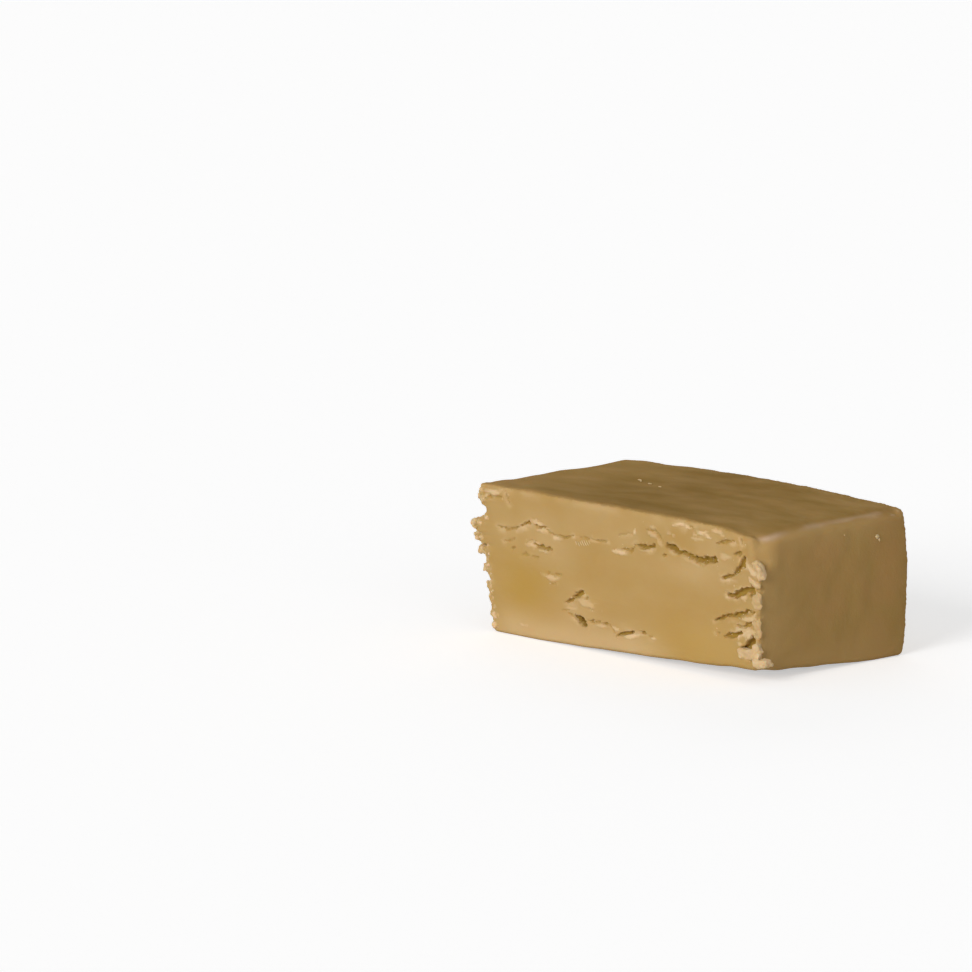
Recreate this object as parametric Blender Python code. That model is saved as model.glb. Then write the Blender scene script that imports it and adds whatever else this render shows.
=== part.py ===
"""A slice of fudge, cut across a loaf: two knife-cut faces, and the loaf's own skin on top and at both ends.

The slice stands on its flat base. X runs along the cut faces, Y through the slice, and Z up. The front cut
face looks along -Y. All sizes below are in millimetres, and the mesh is written in metres.
"""

import bmesh
import bpy
import numpy as np

METRES_PER_MM = 0.001

# Driving sizes of the slice.
LENGTH = 76.0
WIDTH = 41.0
HEIGHT = 29.5

# Rounding of the edges: the skin's shoulders at the two ends are soft, what the knife cut is sharper.
CUT_EDGE_RADIUS = 0.9
SHOULDER_RADIUS = 2.9
SHOULDER_ZONE = 7.0
SHOULDER_FADE = 4.0

# Spacing of the grid that carries the relief, in the middle of each side and close to its edges.
LENGTH_PITCH = (1.75, 0.8)
WIDTH_PITCH = (4.6, 1.0)
HEIGHT_PITCH = (0.84, 0.62)

# Uneven form of the whole slice.
LEFT_LEAN = 4.2
LEFT_LEAN_REACH = 26.0
END_BULGE = 0.8
CORNER_HEIGHTS = {"front_left": 29.5, "front_right": 28.9, "back_left": 29.9, "back_right": 29.1}
TOP_CROWN = 0.55
TOP_CROWN_PLACE = (-6.0, 21.0)
TOP_CROWN_REACH = (26.0, 17.0)
CORNER_DIP = 1.5
CORNER_DIP_REACH = 7.0

# The base curls up from the surface towards the front right corner, over this reach along X and along Y.
BASE_LIFT = 2.4
BASE_LIFT_REACH = (62.0, 34.0)
BASE_CURL = 1.2
BASE_ROUNDING = 9.0

# Depth of the gentle waves in the skin and in the cut faces, with the width of one wave.
SKIN_WAVES = ((0.28, 17.0), (0.12, 7.0))
CUT_WAVES = ((0.30, 19.0), (0.12, 6.5))
DRAG_MARKS = (0.10, 15.0, 2.6)

# Crumbly relief beside a tear.
CRUMB_HEIGHT = 0.40
CRUMB_SIZE = 2.2
RAGGED_REACH = 1.8
LIP_HEIGHT = 0.32

# Tears in the front face, where the knife dragged the fudge: start, end, sag of the middle, width and depth.
# Places are along X and Z on that face. The sag is positive where the middle hangs below the ends.
FRONT_TEARS = (
    # The long torn band below the top edge, from left to right.
    ((-33.2, 21.1), (-28.6, 21.3), 0.3, 0.9, 0.6),
    ((-26.4, 22.0), (-23.2, 23.1), 0.2, 1.0, 0.7),
    ((-22.0, 22.8), (-19.3, 22.4), 0.2, 0.9, 0.6),
    ((-18.4, 22.0), (-11.3, 22.1), 0.4, 1.0, 0.8),
    ((-9.3, 22.0), (-3.3, 22.1), 0.2, 0.8, 0.5),
    ((-30.4, 18.8), (-27.2, 19.3), 0.1, 0.8, 0.5),
    ((-22.4, 19.0), (-17.4, 18.8), 0.4, 1.1, 0.8),
    ((-0.5, 21.4), (5.2, 21.6), 0.2, 0.8, 0.4),
    ((6.0, 22.6), (11.0, 23.0), 0.6, 1.5, 1.2),
    ((14.2, 23.6), (27.6, 22.7), 1.1, 1.6, 1.8),
    ((27.4, 25.6), (31.8, 26.2), 0.1, 0.9, 0.7),
    # The fissures that open at the right-hand edge.
    ((29.0, 19.2), (36.0, 23.8), 0.6, 1.4, 1.6),
    ((30.2, 16.3), (37.4, 18.8), 0.5, 1.5, 1.8),
    ((27.6, 11.2), (37.0, 13.8), 0.3, 1.3, 1.5),
    ((33.5, 10.6), (37.6, 11.7), 0.1, 1.0, 1.0),
    ((29.8, 8.2), (34.8, 9.9), 0.2, 1.2, 1.2),
    ((34.2, 6.0), (37.4, 8.4), 0.2, 1.4, 1.6),
    # The broken patch and the chain of small holes towards the base.
    ((-13.2, 8.8), (-8.4, 11.0), -0.6, 1.3, 1.3),
    ((-10.4, 6.2), (-7.6, 5.0), 0.2, 1.6, 1.8),
    ((-7.0, 6.1), (-1.4, 6.0), 0.3, 0.9, 0.7),
    ((-0.6, 5.9), (1.0, 4.0), -0.1, 0.9, 0.7),
    ((0.8, 4.0), (4.6, 5.3), 0.1, 1.0, 0.9),
    ((-20.0, 13.6), (-14.0, 14.0), 0.1, 0.8, 0.3),
)

# Tears in the back face, in the same form.
BACK_TEARS = (
    ((-37.0, 22.6), (-29.5, 20.4), 0.4, 1.5, 1.6),
    ((-36.8, 16.0), (-30.6, 14.9), 0.3, 1.4, 1.5),
    ((-37.0, 9.2), (-28.4, 8.0), -0.3, 1.3, 1.3),
    ((-25.5, 23.4), (-14.8, 24.4), 0.8, 1.4, 1.4),
    ((-11.0, 23.0), (-3.0, 22.2), 0.4, 1.1, 0.9),
    ((1.5, 22.6), (8.5, 23.4), 0.5, 0.9, 0.7),
    ((13.0, 21.0), (19.5, 21.8), 0.3, 1.0, 0.7),
    ((23.5, 17.4), (29.0, 16.2), 0.3, 0.9, 0.6),
    ((17.5, 8.4), (23.0, 6.2), 0.2, 1.3, 1.2),
    ((4.0, 5.4), (12.5, 6.8), 0.4, 1.0, 0.8),
    ((-12.5, 12.4), (-7.5, 11.6), 0.1, 0.9, 0.5),
)

# Knobs (outwards) and notches (inwards) along the upright edges of the cut faces: height of the middle, how far
# it stands out, and half of its height. The knife left the back face's right edge clean.
EDGE_KNOBS = {
    ("front", "right"): (
        (26.0, -1.2, 1.2),
        (21.9, 1.6, 1.3),
        (18.6, -1.6, 1.1),
        (15.2, 0.9, 1.2),
        (12.6, -0.8, 0.7),
        (10.6, 0.6, 0.8),
        (8.0, -0.7, 0.8),
        (5.6, 0.8, 0.9),
        (3.4, 1.6, 1.1),
    ),
    ("front", "left"): (
        (27.2, 0.7, 0.9),
        (24.2, -1.0, 1.2),
        (21.2, 2.8, 1.2),
        (18.7, 1.6, 0.9),
        (16.0, 2.0, 1.0),
        (13.8, -0.5, 0.8),
        (12.2, 0.9, 0.8),
        (8.6, 0.6, 0.9),
        (6.6, -0.7, 0.8),
        (4.8, 1.0, 0.8),
        (2.6, 0.7, 0.8),
    ),
    ("back", "left"): (
        (25.4, 1.0, 1.2),
        (22.4, -1.3, 1.0),
        (19.2, 1.4, 1.3),
        (15.6, -1.1, 0.9),
        (11.8, 1.2, 1.4),
        (8.4, -0.9, 0.8),
        (4.4, 1.2, 1.2),
    ),
}
KNOB_REACH_ALONG = 2.8
KNOB_REACH_ACROSS = 1.7

TEAR_SAMPLES = 15
JAG = (0.45, 2.2)

FUDGE_COLOUR = (0.49, 0.31, 0.115, 1.0)
FUDGE_ROUGHNESS = 0.55


# Smooth steps and lattice noise.


def ramp(values, low, high):
    """From 0 at low to 1 at high, without a corner at either end."""
    share = np.clip((values - low) / (high - low), 0.0, 1.0)
    return share * share * (3.0 - 2.0 * share)


def bell(values, width):
    """1 at zero, falling away to nothing past about twice the width."""
    return np.exp(-((values / width) ** 2))


def lattice_values(cells, seed):
    """A fixed number from 0 to 1 for each lattice cell, the same in every run."""
    cells = cells.astype(np.int64).astype(np.uint64)
    mixed = (
        cells[..., 0] * np.uint64(73856093)
        ^ cells[..., 1] * np.uint64(19349663)
        ^ cells[..., 2] * np.uint64(83492791)
        ^ np.uint64(seed * 2654435761 % 2**32)
    ) & np.uint64(0xFFFFFFFF)
    for shift, factor in ((15, 2246822519), (13, 3266489917)):
        mixed = (mixed ^ (mixed >> np.uint64(shift))) * np.uint64(factor) & np.uint64(0xFFFFFFFF)
    return (mixed ^ (mixed >> np.uint64(16))).astype(float) / 2.0**32


def waves(points, size, seed):
    """Smooth noise from about -1 to 1 in three dimensions. Size is the width of one lattice cell."""
    scaled = points / size
    corner = np.floor(scaled)
    share = scaled - corner
    blend = share * share * (3.0 - 2.0 * share)
    total = np.zeros(len(points))
    for step in np.ndindex(2, 2, 2):
        weight = np.prod(np.where(np.array(step), blend, 1.0 - blend), axis=1)
        total += weight * lattice_values(corner + step, seed)
    return 2.0 * total - 1.0


def crumbs(points, size, seed):
    """Rounded grains packed side by side: near 1 at the middle of a grain and 0 in the seams between grains."""
    scaled = points / size
    corner = np.floor(scaled)
    nearest = np.full(len(points), 9.0)
    second = np.full(len(points), 9.0)
    for step in np.ndindex(3, 3, 3):
        cell = corner + step - 1
        middle = cell + np.stack([lattice_values(cell, seed + axis) for axis in range(3)], axis=1)
        away = np.linalg.norm(scaled - middle, axis=1)
        second = np.minimum(second, np.maximum(nearest, away))
        nearest = np.minimum(nearest, away)
    return ramp(second - nearest, 0.0, 0.6)


# The box and its rounding.


def grid_lines(low, high, pitch, zone):
    """Places of the grid lines between low and high: a wide pitch in the middle and a close one near the ends."""
    wide, close = pitch
    fine = np.linspace(low, high, 400)
    from_end = np.minimum(fine - low, high - fine)
    density = 1.0 / close + (1.0 / wide - 1.0 / close) * ramp(from_end, 0.0, zone)
    count = np.concatenate([[0.0], np.cumsum((density[1:] + density[:-1]) / 2.0 * np.diff(fine))])
    return np.interp(np.linspace(0.0, count[-1], int(round(count[-1])) + 1), count, fine)[1:-1]


def gridded_box():
    """A box of the slice's size, standing on z = 0 and cut along the grid lines of its three axes."""
    box = bmesh.new()
    bmesh.ops.create_cube(box, size=1.0)
    bmesh.ops.scale(box, vec=(LENGTH, WIDTH, HEIGHT), verts=box.verts)
    bmesh.ops.translate(box, vec=(0.0, 0.0, HEIGHT / 2), verts=box.verts)
    lines = (
        grid_lines(-LENGTH / 2, LENGTH / 2, LENGTH_PITCH, zone=9.0),
        grid_lines(-WIDTH / 2, WIDTH / 2, WIDTH_PITCH, zone=6.0),
        grid_lines(0.0, HEIGHT, HEIGHT_PITCH, zone=5.0),
    )
    for direction, places in zip(np.eye(3), lines):
        for place in places:
            everything = box.verts[:] + box.edges[:] + box.faces[:]
            bmesh.ops.bisect_plane(box, geom=everything, plane_co=direction * place, plane_no=direction)
    return box


def rounded_box(points):
    """The box with its edges rounded, and the outward direction at each point."""
    half_length, half_width = LENGTH / 2, WIDTH / 2
    near_end = ramp(np.abs(points[:, 0]), half_length - SHOULDER_ZONE, half_length - 1.0)
    near_top = ramp(points[:, 2], HEIGHT - SHOULDER_ZONE, HEIGHT - 1.0)
    behind_front = ramp(points[:, 1], -half_width, SHOULDER_FADE - half_width)
    radius = CUT_EDGE_RADIUS + (SHOULDER_RADIUS - CUT_EDGE_RADIUS) * near_end * near_top * behind_front
    low = np.stack([radius - half_length, radius - half_width, radius], axis=1)
    high = np.stack([half_length - radius, half_width - radius, HEIGHT - radius], axis=1)
    core = np.clip(points, low, high)
    outward = points - core
    outward /= np.linalg.norm(outward, axis=1)[:, None]
    return core + radius[:, None] * outward, outward


# Relief of the faces.


def tear_field(places, tears):
    """How deep the tears are at each place of a face, how ragged it is there, and how much of a lip stands out."""
    depth = np.zeros(len(places))
    ragged = np.zeros(len(places))
    lip = np.zeros(len(places))
    share = np.linspace(0.0, 1.0, TEAR_SAMPLES)
    for start, end, sag, width, deepest in tears:
        middle = np.outer(1.0 - share, start) + np.outer(share, end)
        middle[:, 1] -= sag * 4.0 * share * (1.0 - share)
        gap = places[:, None, :] - middle[None, :, :]
        nearest = np.argmin((gap**2).sum(axis=2), axis=1)
        away = np.linalg.norm(gap[np.arange(len(places)), nearest], axis=1)
        above = gap[np.arange(len(places)), nearest, 1] > 0.0
        open_width = width * (0.45 + 0.55 * np.sin(np.pi * np.clip(share[nearest], 0.12, 0.88)))
        depth = np.maximum(depth, deepest * (1.0 - ramp(away, 0.25 * open_width, open_width)))
        ragged = np.maximum(ragged, (1.0 - ramp(away, width, width + RAGGED_REACH)) * min(1.0, deepest))
        raised = ramp(away, 0.5 * width, 1.1 * width) * (1.0 - ramp(away, 1.3 * width, width + RAGGED_REACH))
        lip = np.maximum(lip, raised * np.where(above, 1.0, 0.5) * min(1.0, deepest))
    return depth, ragged, lip


def cut_relief(points, tears, seed):
    """How far a cut face stands out: slow waves, drag marks along the cut, and tears with crumbly lips."""
    height = np.zeros(len(points))
    for number, (amount, size) in enumerate(CUT_WAVES):
        height += amount * waves(points, size, seed + number)
    amount, long_way, short_way = DRAG_MARKS
    height += amount * waves(points * (short_way / long_way, 1.0, 1.0), short_way, seed + 5)
    jag_amount, jag_size = JAG
    places = points[:, (0, 2)].copy()
    places[:, 0] += jag_amount * waves(points, jag_size, seed + 6)
    places[:, 1] += jag_amount * waves(points, jag_size, seed + 7)
    depth, ragged, lip = tear_field(places, tears)
    from_edge = LENGTH / 2 - np.abs(points[:, 0])
    ragged = np.maximum(ragged, 0.6 * (1.0 - ramp(from_edge, 0.5, 3.5)))
    grains = crumbs(points, CRUMB_SIZE, seed + 8) - 0.6
    deep_share = 0.45 + 0.55 * ramp(from_edge, 0.6, 2.4)
    return height - depth * deep_share + LIP_HEIGHT * lip + CRUMB_HEIGHT * ragged * grains


def skin_relief(points):
    """How far the skin stands out: the slow waves of a loaf that set on its own."""
    return sum(amount * waves(points, size, 40 + number) for number, (amount, size) in enumerate(SKIN_WAVES))


def edge_push(points):
    """How far the knobs and notches push each point along X and along Y, away from the slice's middle."""
    push = np.zeros((len(points), 2))
    near_base = ramp(points[:, 2], 0.0, 1.5)
    for (cut, end), knobs in EDGE_KNOBS.items():
        side = np.array([1.0 if end == "right" else -1.0, 1.0 if cut == "back" else -1.0])
        from_end = LENGTH / 2 - side[0] * points[:, 0]
        from_cut = WIDTH / 2 - side[1] * points[:, 1]
        near = bell(from_end, KNOB_REACH_ALONG) * bell(from_cut, KNOB_REACH_ACROSS) * near_base
        stand_out = sum(amount * bell(points[:, 2] - height, size) for height, amount, size in knobs)
        push += (near * stand_out)[:, None] * side * (0.9, 0.3)
    return push


# The slice as a whole.


def from_front_right(points):
    """Distance of each point from the slice's front right edge, seen from above."""
    return np.hypot(LENGTH / 2 - points[:, 0], WIDTH / 2 + points[:, 1])


def top_height(points):
    """Height of the top over each point: it differs from corner to corner, crowned behind and dipped in front."""
    right = points[:, 0] / LENGTH + 0.5
    back = points[:, 1] / WIDTH + 0.5
    front_edge = CORNER_HEIGHTS["front_left"] * (1.0 - right) + CORNER_HEIGHTS["front_right"] * right
    back_edge = CORNER_HEIGHTS["back_left"] * (1.0 - right) + CORNER_HEIGHTS["back_right"] * right
    crown = bell(points[:, 0] - TOP_CROWN_PLACE[0], TOP_CROWN_REACH[0])
    crown *= bell(points[:, 1] - TOP_CROWN_PLACE[1], TOP_CROWN_REACH[1])
    dip = bell(from_front_right(points), CORNER_DIP_REACH)
    return front_edge * (1.0 - back) + back_edge * back + TOP_CROWN * crown - CORNER_DIP * dip


def base_lift(points):
    """How far the base curls up: nothing on the far side, growing steadily towards the front right corner."""
    away = (LENGTH / 2 - points[:, 0]) / BASE_LIFT_REACH[0] + (WIDTH / 2 + points[:, 1]) / BASE_LIFT_REACH[1]
    curl = BASE_LIFT * np.clip(1.0 - away, 0.0, 1.0) ** BASE_CURL
    return curl * (1.0 - ramp(points[:, 2], 0.0, BASE_ROUNDING))


def uneven(points):
    """The slice's own lean, bulge, crown and curled base."""
    bent = points.copy()
    level = np.clip(points[:, 2] / HEIGHT, 0.0, 1.0)
    leaning = ramp(-points[:, 0], LENGTH / 2 - LEFT_LEAN_REACH, LENGTH / 2)
    bent[:, 0] += LEFT_LEAN * (1.0 - level) * leaning
    bulge = END_BULGE * np.sin(np.pi * level) * ramp(points[:, 0], LENGTH / 2 - 14.0, LENGTH / 2)
    bent[:, 0] += bulge
    bent[:, 1] += bulge * ramp(points[:, 1], 0.0, WIDTH / 2)
    bent[:, 2] *= top_height(points) / HEIGHT
    bent[:, 2] += base_lift(points)
    return bent


def fudge_surface(box_points):
    """Where each point of the gridded box lies on the slice."""
    points, outward = rounded_box(box_points)
    front = np.clip(-outward[:, 1], 0.0, 1.0) ** 2
    back = np.clip(outward[:, 1], 0.0, 1.0) ** 2
    skin = np.clip(1.0 - front - back, 0.0, 1.0)
    above_base = ramp(points[:, 2], 0.0, 2.0)
    relief = (
        front * cut_relief(points, FRONT_TEARS, 10)
        + back * cut_relief(points, BACK_TEARS, 25)
        + skin * skin_relief(points)
    )
    pushed = points + (relief * above_base)[:, None] * outward
    pushed[:, :2] += edge_push(points)
    return uneven(pushed)


def centred(points):
    """Moved so that the slice stands on z = 0 with the middle of its outline at the origin."""
    low, high = points.min(axis=0), points.max(axis=0)
    return points - (*((low + high) / 2)[:2], low[2])


def fudge_material():
    material = bpy.data.materials.new("fudge")
    material.use_nodes = True
    shader = material.node_tree.nodes["Principled BSDF"]
    shader.inputs["Base Color"].default_value = FUDGE_COLOUR
    shader.inputs["Roughness"].default_value = FUDGE_ROUGHNESS
    shader.inputs["Metallic"].default_value = 0.0
    return material


def make_fudge_slice():
    shape = gridded_box()
    box_points = np.array([vert.co for vert in shape.verts])
    placed = centred(fudge_surface(box_points)) * METRES_PER_MM
    for vert, place in zip(shape.verts, placed):
        vert.co = place
    underside = [face for face in shape.faces if all(vert.co.z == 0.0 for vert in face.verts)]
    bmesh.ops.dissolve_faces(shape, faces=underside)
    bmesh.ops.triangulate(shape, faces=shape.faces, quad_method="SHORT_EDGE")
    mesh = bpy.data.meshes.new("fudge_slice")
    shape.to_mesh(mesh)
    shape.free()
    mesh.shade_smooth()
    mesh.materials.append(fudge_material())
    fudge_slice = bpy.data.objects.new("fudge_slice", mesh)
    bpy.context.scene.collection.objects.link(fudge_slice)


for old in list(bpy.data.objects):
    bpy.data.objects.remove(old)
make_fudge_slice()
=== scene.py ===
import math

import bpy
import numpy as np
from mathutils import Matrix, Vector


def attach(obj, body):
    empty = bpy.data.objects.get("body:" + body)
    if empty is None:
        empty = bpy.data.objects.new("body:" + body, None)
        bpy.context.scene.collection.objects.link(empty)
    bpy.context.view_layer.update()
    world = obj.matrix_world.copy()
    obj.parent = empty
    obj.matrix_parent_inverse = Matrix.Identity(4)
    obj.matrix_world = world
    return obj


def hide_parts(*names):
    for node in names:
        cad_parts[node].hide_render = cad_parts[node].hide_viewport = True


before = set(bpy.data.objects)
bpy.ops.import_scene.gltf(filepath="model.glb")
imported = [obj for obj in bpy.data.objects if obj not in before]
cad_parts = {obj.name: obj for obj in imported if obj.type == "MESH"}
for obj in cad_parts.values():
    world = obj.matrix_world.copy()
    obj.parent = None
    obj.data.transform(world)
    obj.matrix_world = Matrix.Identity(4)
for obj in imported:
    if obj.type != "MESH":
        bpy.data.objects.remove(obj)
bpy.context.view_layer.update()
print("fudge: the packed slice is loaded")

mm = 0.001


# Shared formulas. Places and sizes are in millimetres until a mesh is written.


def ramp(values, low, high):
    # s = (v - low) / (high - low), held to 0..1, then s * s * (3 - 2 s).
    share = np.clip((values - low) / (high - low), 0.0, 1.0)
    return share * share * (3.0 - 2.0 * share)


def bell(values, width):
    # exp(-(v / width)^2): 1 in the middle, next to nothing past twice the width.
    return np.exp(-((values / width) ** 2))


def plateau(values, width):
    # exp(-(v / width)^4): flat in the middle, and steep just past the width.
    return np.exp(-((values / width) ** 4))


noiseHash = {
    "axes": (73856093, 19349663, 83492791),
    "seed": 2654435761,
    "mixing": ((15, 2246822519), (13, 3266489917)),
    "lastShift": 16,
    "values": 2**32,
}


def latticeValues(cells, seed):
    # A whole-number hash of the cell's three indices and the seed, scaled to 0..1.
    keep = np.uint64(noiseHash["values"] - 1)
    cells = cells.astype(np.int64).astype(np.uint64)
    mixed = np.uint64(seed * noiseHash["seed"] % noiseHash["values"])
    for axis, factor in enumerate(noiseHash["axes"]):
        mixed = mixed ^ cells[..., axis] * np.uint64(factor)
    mixed = mixed & keep
    for shift, factor in noiseHash["mixing"]:
        mixed = (mixed ^ (mixed >> np.uint64(shift))) * np.uint64(factor) & keep
    return (mixed ^ (mixed >> np.uint64(noiseHash["lastShift"]))).astype(float) / noiseHash["values"]


def waves(points, size, seed):
    # Value noise: the eight corners of the lattice cell, blended by smooth steps, from -1 to 1.
    scaled = points / size
    corner = np.floor(scaled)
    share = scaled - corner
    blend = share * share * (3.0 - 2.0 * share)
    total = np.zeros(len(points))
    for step in np.ndindex(2, 2, 2):
        weight = np.prod(np.where(np.array(step), blend, 1.0 - blend), axis=1)
        total += weight * latticeValues(corner + step, seed)
    return 2.0 * total - 1.0


def noiseSum(points, layers, seed, step=1, start=0.0):
    # start + the sum of amount * value noise over the layers (amount, size).
    for number, (amount, size) in enumerate(layers):
        start = start + amount * waves(points, size, seed + step * number)
    return start


def patchy(points, size, seed, low, high):
    # Value noise through a ramp: 0 below the low value and 1 above the high one.
    return ramp(waves(points, size, seed), low, high)


def grains(points, size, seed):
    # Cell noise: ramp(second nearest - nearest grain middle), so 1 on a grain and 0 in the seams between grains.
    seamWidth, far = 0.6, 9.0
    scaled = points / size
    corner = np.floor(scaled)
    nearest, second = np.full((2, len(points)), far)
    for step in np.ndindex(3, 3, 3):
        cell = corner + step - 1
        middle = cell + np.stack([latticeValues(cell, seed + axis) for axis in range(3)], axis=1)
        away = np.linalg.norm(scaled - middle, axis=1)
        second = np.minimum(second, np.maximum(nearest, away))
        nearest = np.minimum(nearest, away)
    return ramp(second - nearest, 0.0, seamWidth)


def gridLines(low, high, spacing):
    # The line density 1 / pitch, raised to 1 / close pitch inside the bands, is summed from low to high,
    # and a line stands wherever the sum passes a whole number.
    samples, fade = 4000, 1.0
    fine = np.linspace(low, high, samples)
    density = np.full(fine.shape, 1.0 / spacing["pitch"])
    for start, end, closePitch in spacing["closeBands"]:
        inside = ramp(fine, start - fade, start) * (1.0 - ramp(fine, end, end + fade))
        density = np.maximum(density, inside / closePitch + (1.0 - inside) / spacing["pitch"])
    total = np.concatenate([[0.0], np.cumsum((density[1:] + density[:-1]) / 2.0 * np.diff(fine))])
    return np.interp(np.linspace(0.0, total[-1], int(round(total[-1])) + 1), total, fine)


def boxLattice(lines):
    # The points (x_i, y_j, z_k) on the outside of the box, each numbered once, and the quads between them.
    counts = [len(places) for places in lines]
    index = np.arange(np.prod(counts)).reshape(counts)
    sides = (index[0], index[-1], index[:, 0], index[:, -1], index[:, :, 0], index[:, :, -1])
    quads = []
    for side, turned in zip(sides, (True, False, False, True, True, False)):
        quad = np.stack([side[:-1, :-1], side[1:, :-1], side[1:, 1:], side[:-1, 1:]], axis=-1).reshape(-1, 4)
        quads.append(quad[:, ::-1] if turned else quad)
    used, quads = np.unique(np.concatenate(quads), return_inverse=True)
    points = np.stack([places[number] for places, number in zip(lines, np.unravel_index(used, counts))], axis=1)
    return points, quads.reshape(-1, 4)


# The slice itself.

slab = {
    "size": (76.0, 41.0, 29.5),  # along the cut faces, through the slice, upwards
    "shift": (0.314, -0.014, 0.0),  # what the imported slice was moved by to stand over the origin
    "linesAlong": {"pitch": 0.34, "closeBands": ((-38.0, -30.0, 0.27), (12.0, 38.0, 0.22))},
    "linesAcross": {"pitch": 0.7, "closeBands": ((-20.5, -18.0, 0.32), (18.0, 20.5, 0.32))},
    "linesUp": {"pitch": 0.36, "closeBands": ((3.0, 13.0, 0.24), (16.0, 24.5, 0.24), (28.6, 29.5, 0.3))},
    "cutEdgeRadius": 0.9,
    "shoulderRadius": 2.9,
    "shoulderZone": (7.0, 1.0),  # how far from the end and the top it begins and is whole
    "shoulderFade": 2.4,
    "shoulderLost": 0.6,  # the share of it that is lost at the back edge
    "leftLean": (4.2, 26.0),  # how far the left end leans inwards at its foot, and how far along that reaches
    "endBulge": {"amount": 0.8, "reach": 14.0, "power": 0.4},
    "cornerHeights": {"frontLeft": 29.5, "frontRight": 28.9, "backLeft": 29.9, "backRight": 29.1},
    "topCrown": {"height": 0.85, "place": (1.0, 21.0), "reach": (27.0, 17.0)},
    "cornerDip": (1.5, 7.0),
    "baseCurl": {"lift": 2.4, "reach": (62.0, 34.0), "power": 1.2, "rounding": 9.0, "uneven": 0.18, "size": 4.5},
    "reliefStart": 1.6,  # the height over the floor where the relief is whole
    "skinWaves": ((0.30, 17.0), (0.20, 6.0), (0.11, 2.6)),
    "edgeCrumble": (0.16, 0.9),
    "roundedCorner": {
        "amount": 2.3,
        "reach": (3.6, 3.2),
        "heights": (22.6, 25.0),
        "way": (0.9, -0.45),
        "skin": (35.4, 36.3),  # where along X the skin's colour wraps round it
    },
    "knobs": {
        "reach": 2.6,
        "depth": (0.5, 2.0),  # how far behind the cut face they are whole and end
        "start": 1.2,
        "lumpy": (0.75, 0.5, 1.1),
        "wander": (0.35, 1.4),
        "way": (0.95, 0.3),
    },
}
halfLength, halfWidth, slabHeight = slab["size"][0] / 2, slab["size"][1] / 2, slab["size"][2]

# What the cut faces are made up of. A layer of noise is (amount, size), and patches of it are (size, from, to).
cutForm = {
    "waves": ((0.30, 19.0), (0.12, 6.5)),
    "dragMarks": ((0.10, 15.0, 2.6), (0.022, 9.0, 0.7)),  # depth, length and width
    "jag": ((0.12, 2.2), (0.20, 0.9), (0.20, 0.40)),  # how far and at what size the tears wander
    "roughWidth": (0.4, 0.8),
    "lipHeight": 0.07,
    "droop": 0.12,
    "flakeWaver": ((0.45, 0.9), (0.28, 0.4)),
    "flakeEdge": (0.5, 1.15),
    "flakeSearch": 2.0,
    "loose": (2.4, -0.7, 0.35),
    "raggedByTears": 0.5,
    "raggedRelief": ((0.20, 1.3), (0.10, 0.55)),
    "raggedStretch": (0.6, 1.0, 1.0),
    "patches": (1.6, -0.2, 0.5),
    "shallowEnds": (0.5, 0.4, 2.0),  # the share of the depth at the end, and where it starts and stops to grow
    # The depth at which the painted shade inside the tears is whole.
    "fullTear": 0.9,
    # The depths where the painted shade of the deepest holes begins and is whole.
    "deep": (1.15, 1.5),
    # The under-lips of the tears turn pale: drier crumb, and painted light on their lit faces.
    "dryAndLitUnderLip": 0.45,
    "paleRagged": 0.7,
    "notPale": (0.1, 0.5),
    "raggedLip": 0.3,
}

# The section of a tear in half widths or millimetres. Pairs are for above and below its line, or for from and to.
tearForm = {
    "search": 4.0,
    "taper": (0.1, 0.9),
    "halfShare": 0.60,
    "depth": 0.85,
    "reach": (1.1, 1.5),
    "slope": (0.4, 1.3),
    "around": (0.1, 0.8),
    "lipStart": (0.6, 1.3),
    "lipEnd": (0.3, 1.3),
    "lipShare": (1.0, 0.5),
    "droopStart": 0.5,
    "droopEnd": 1.4,
}

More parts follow.
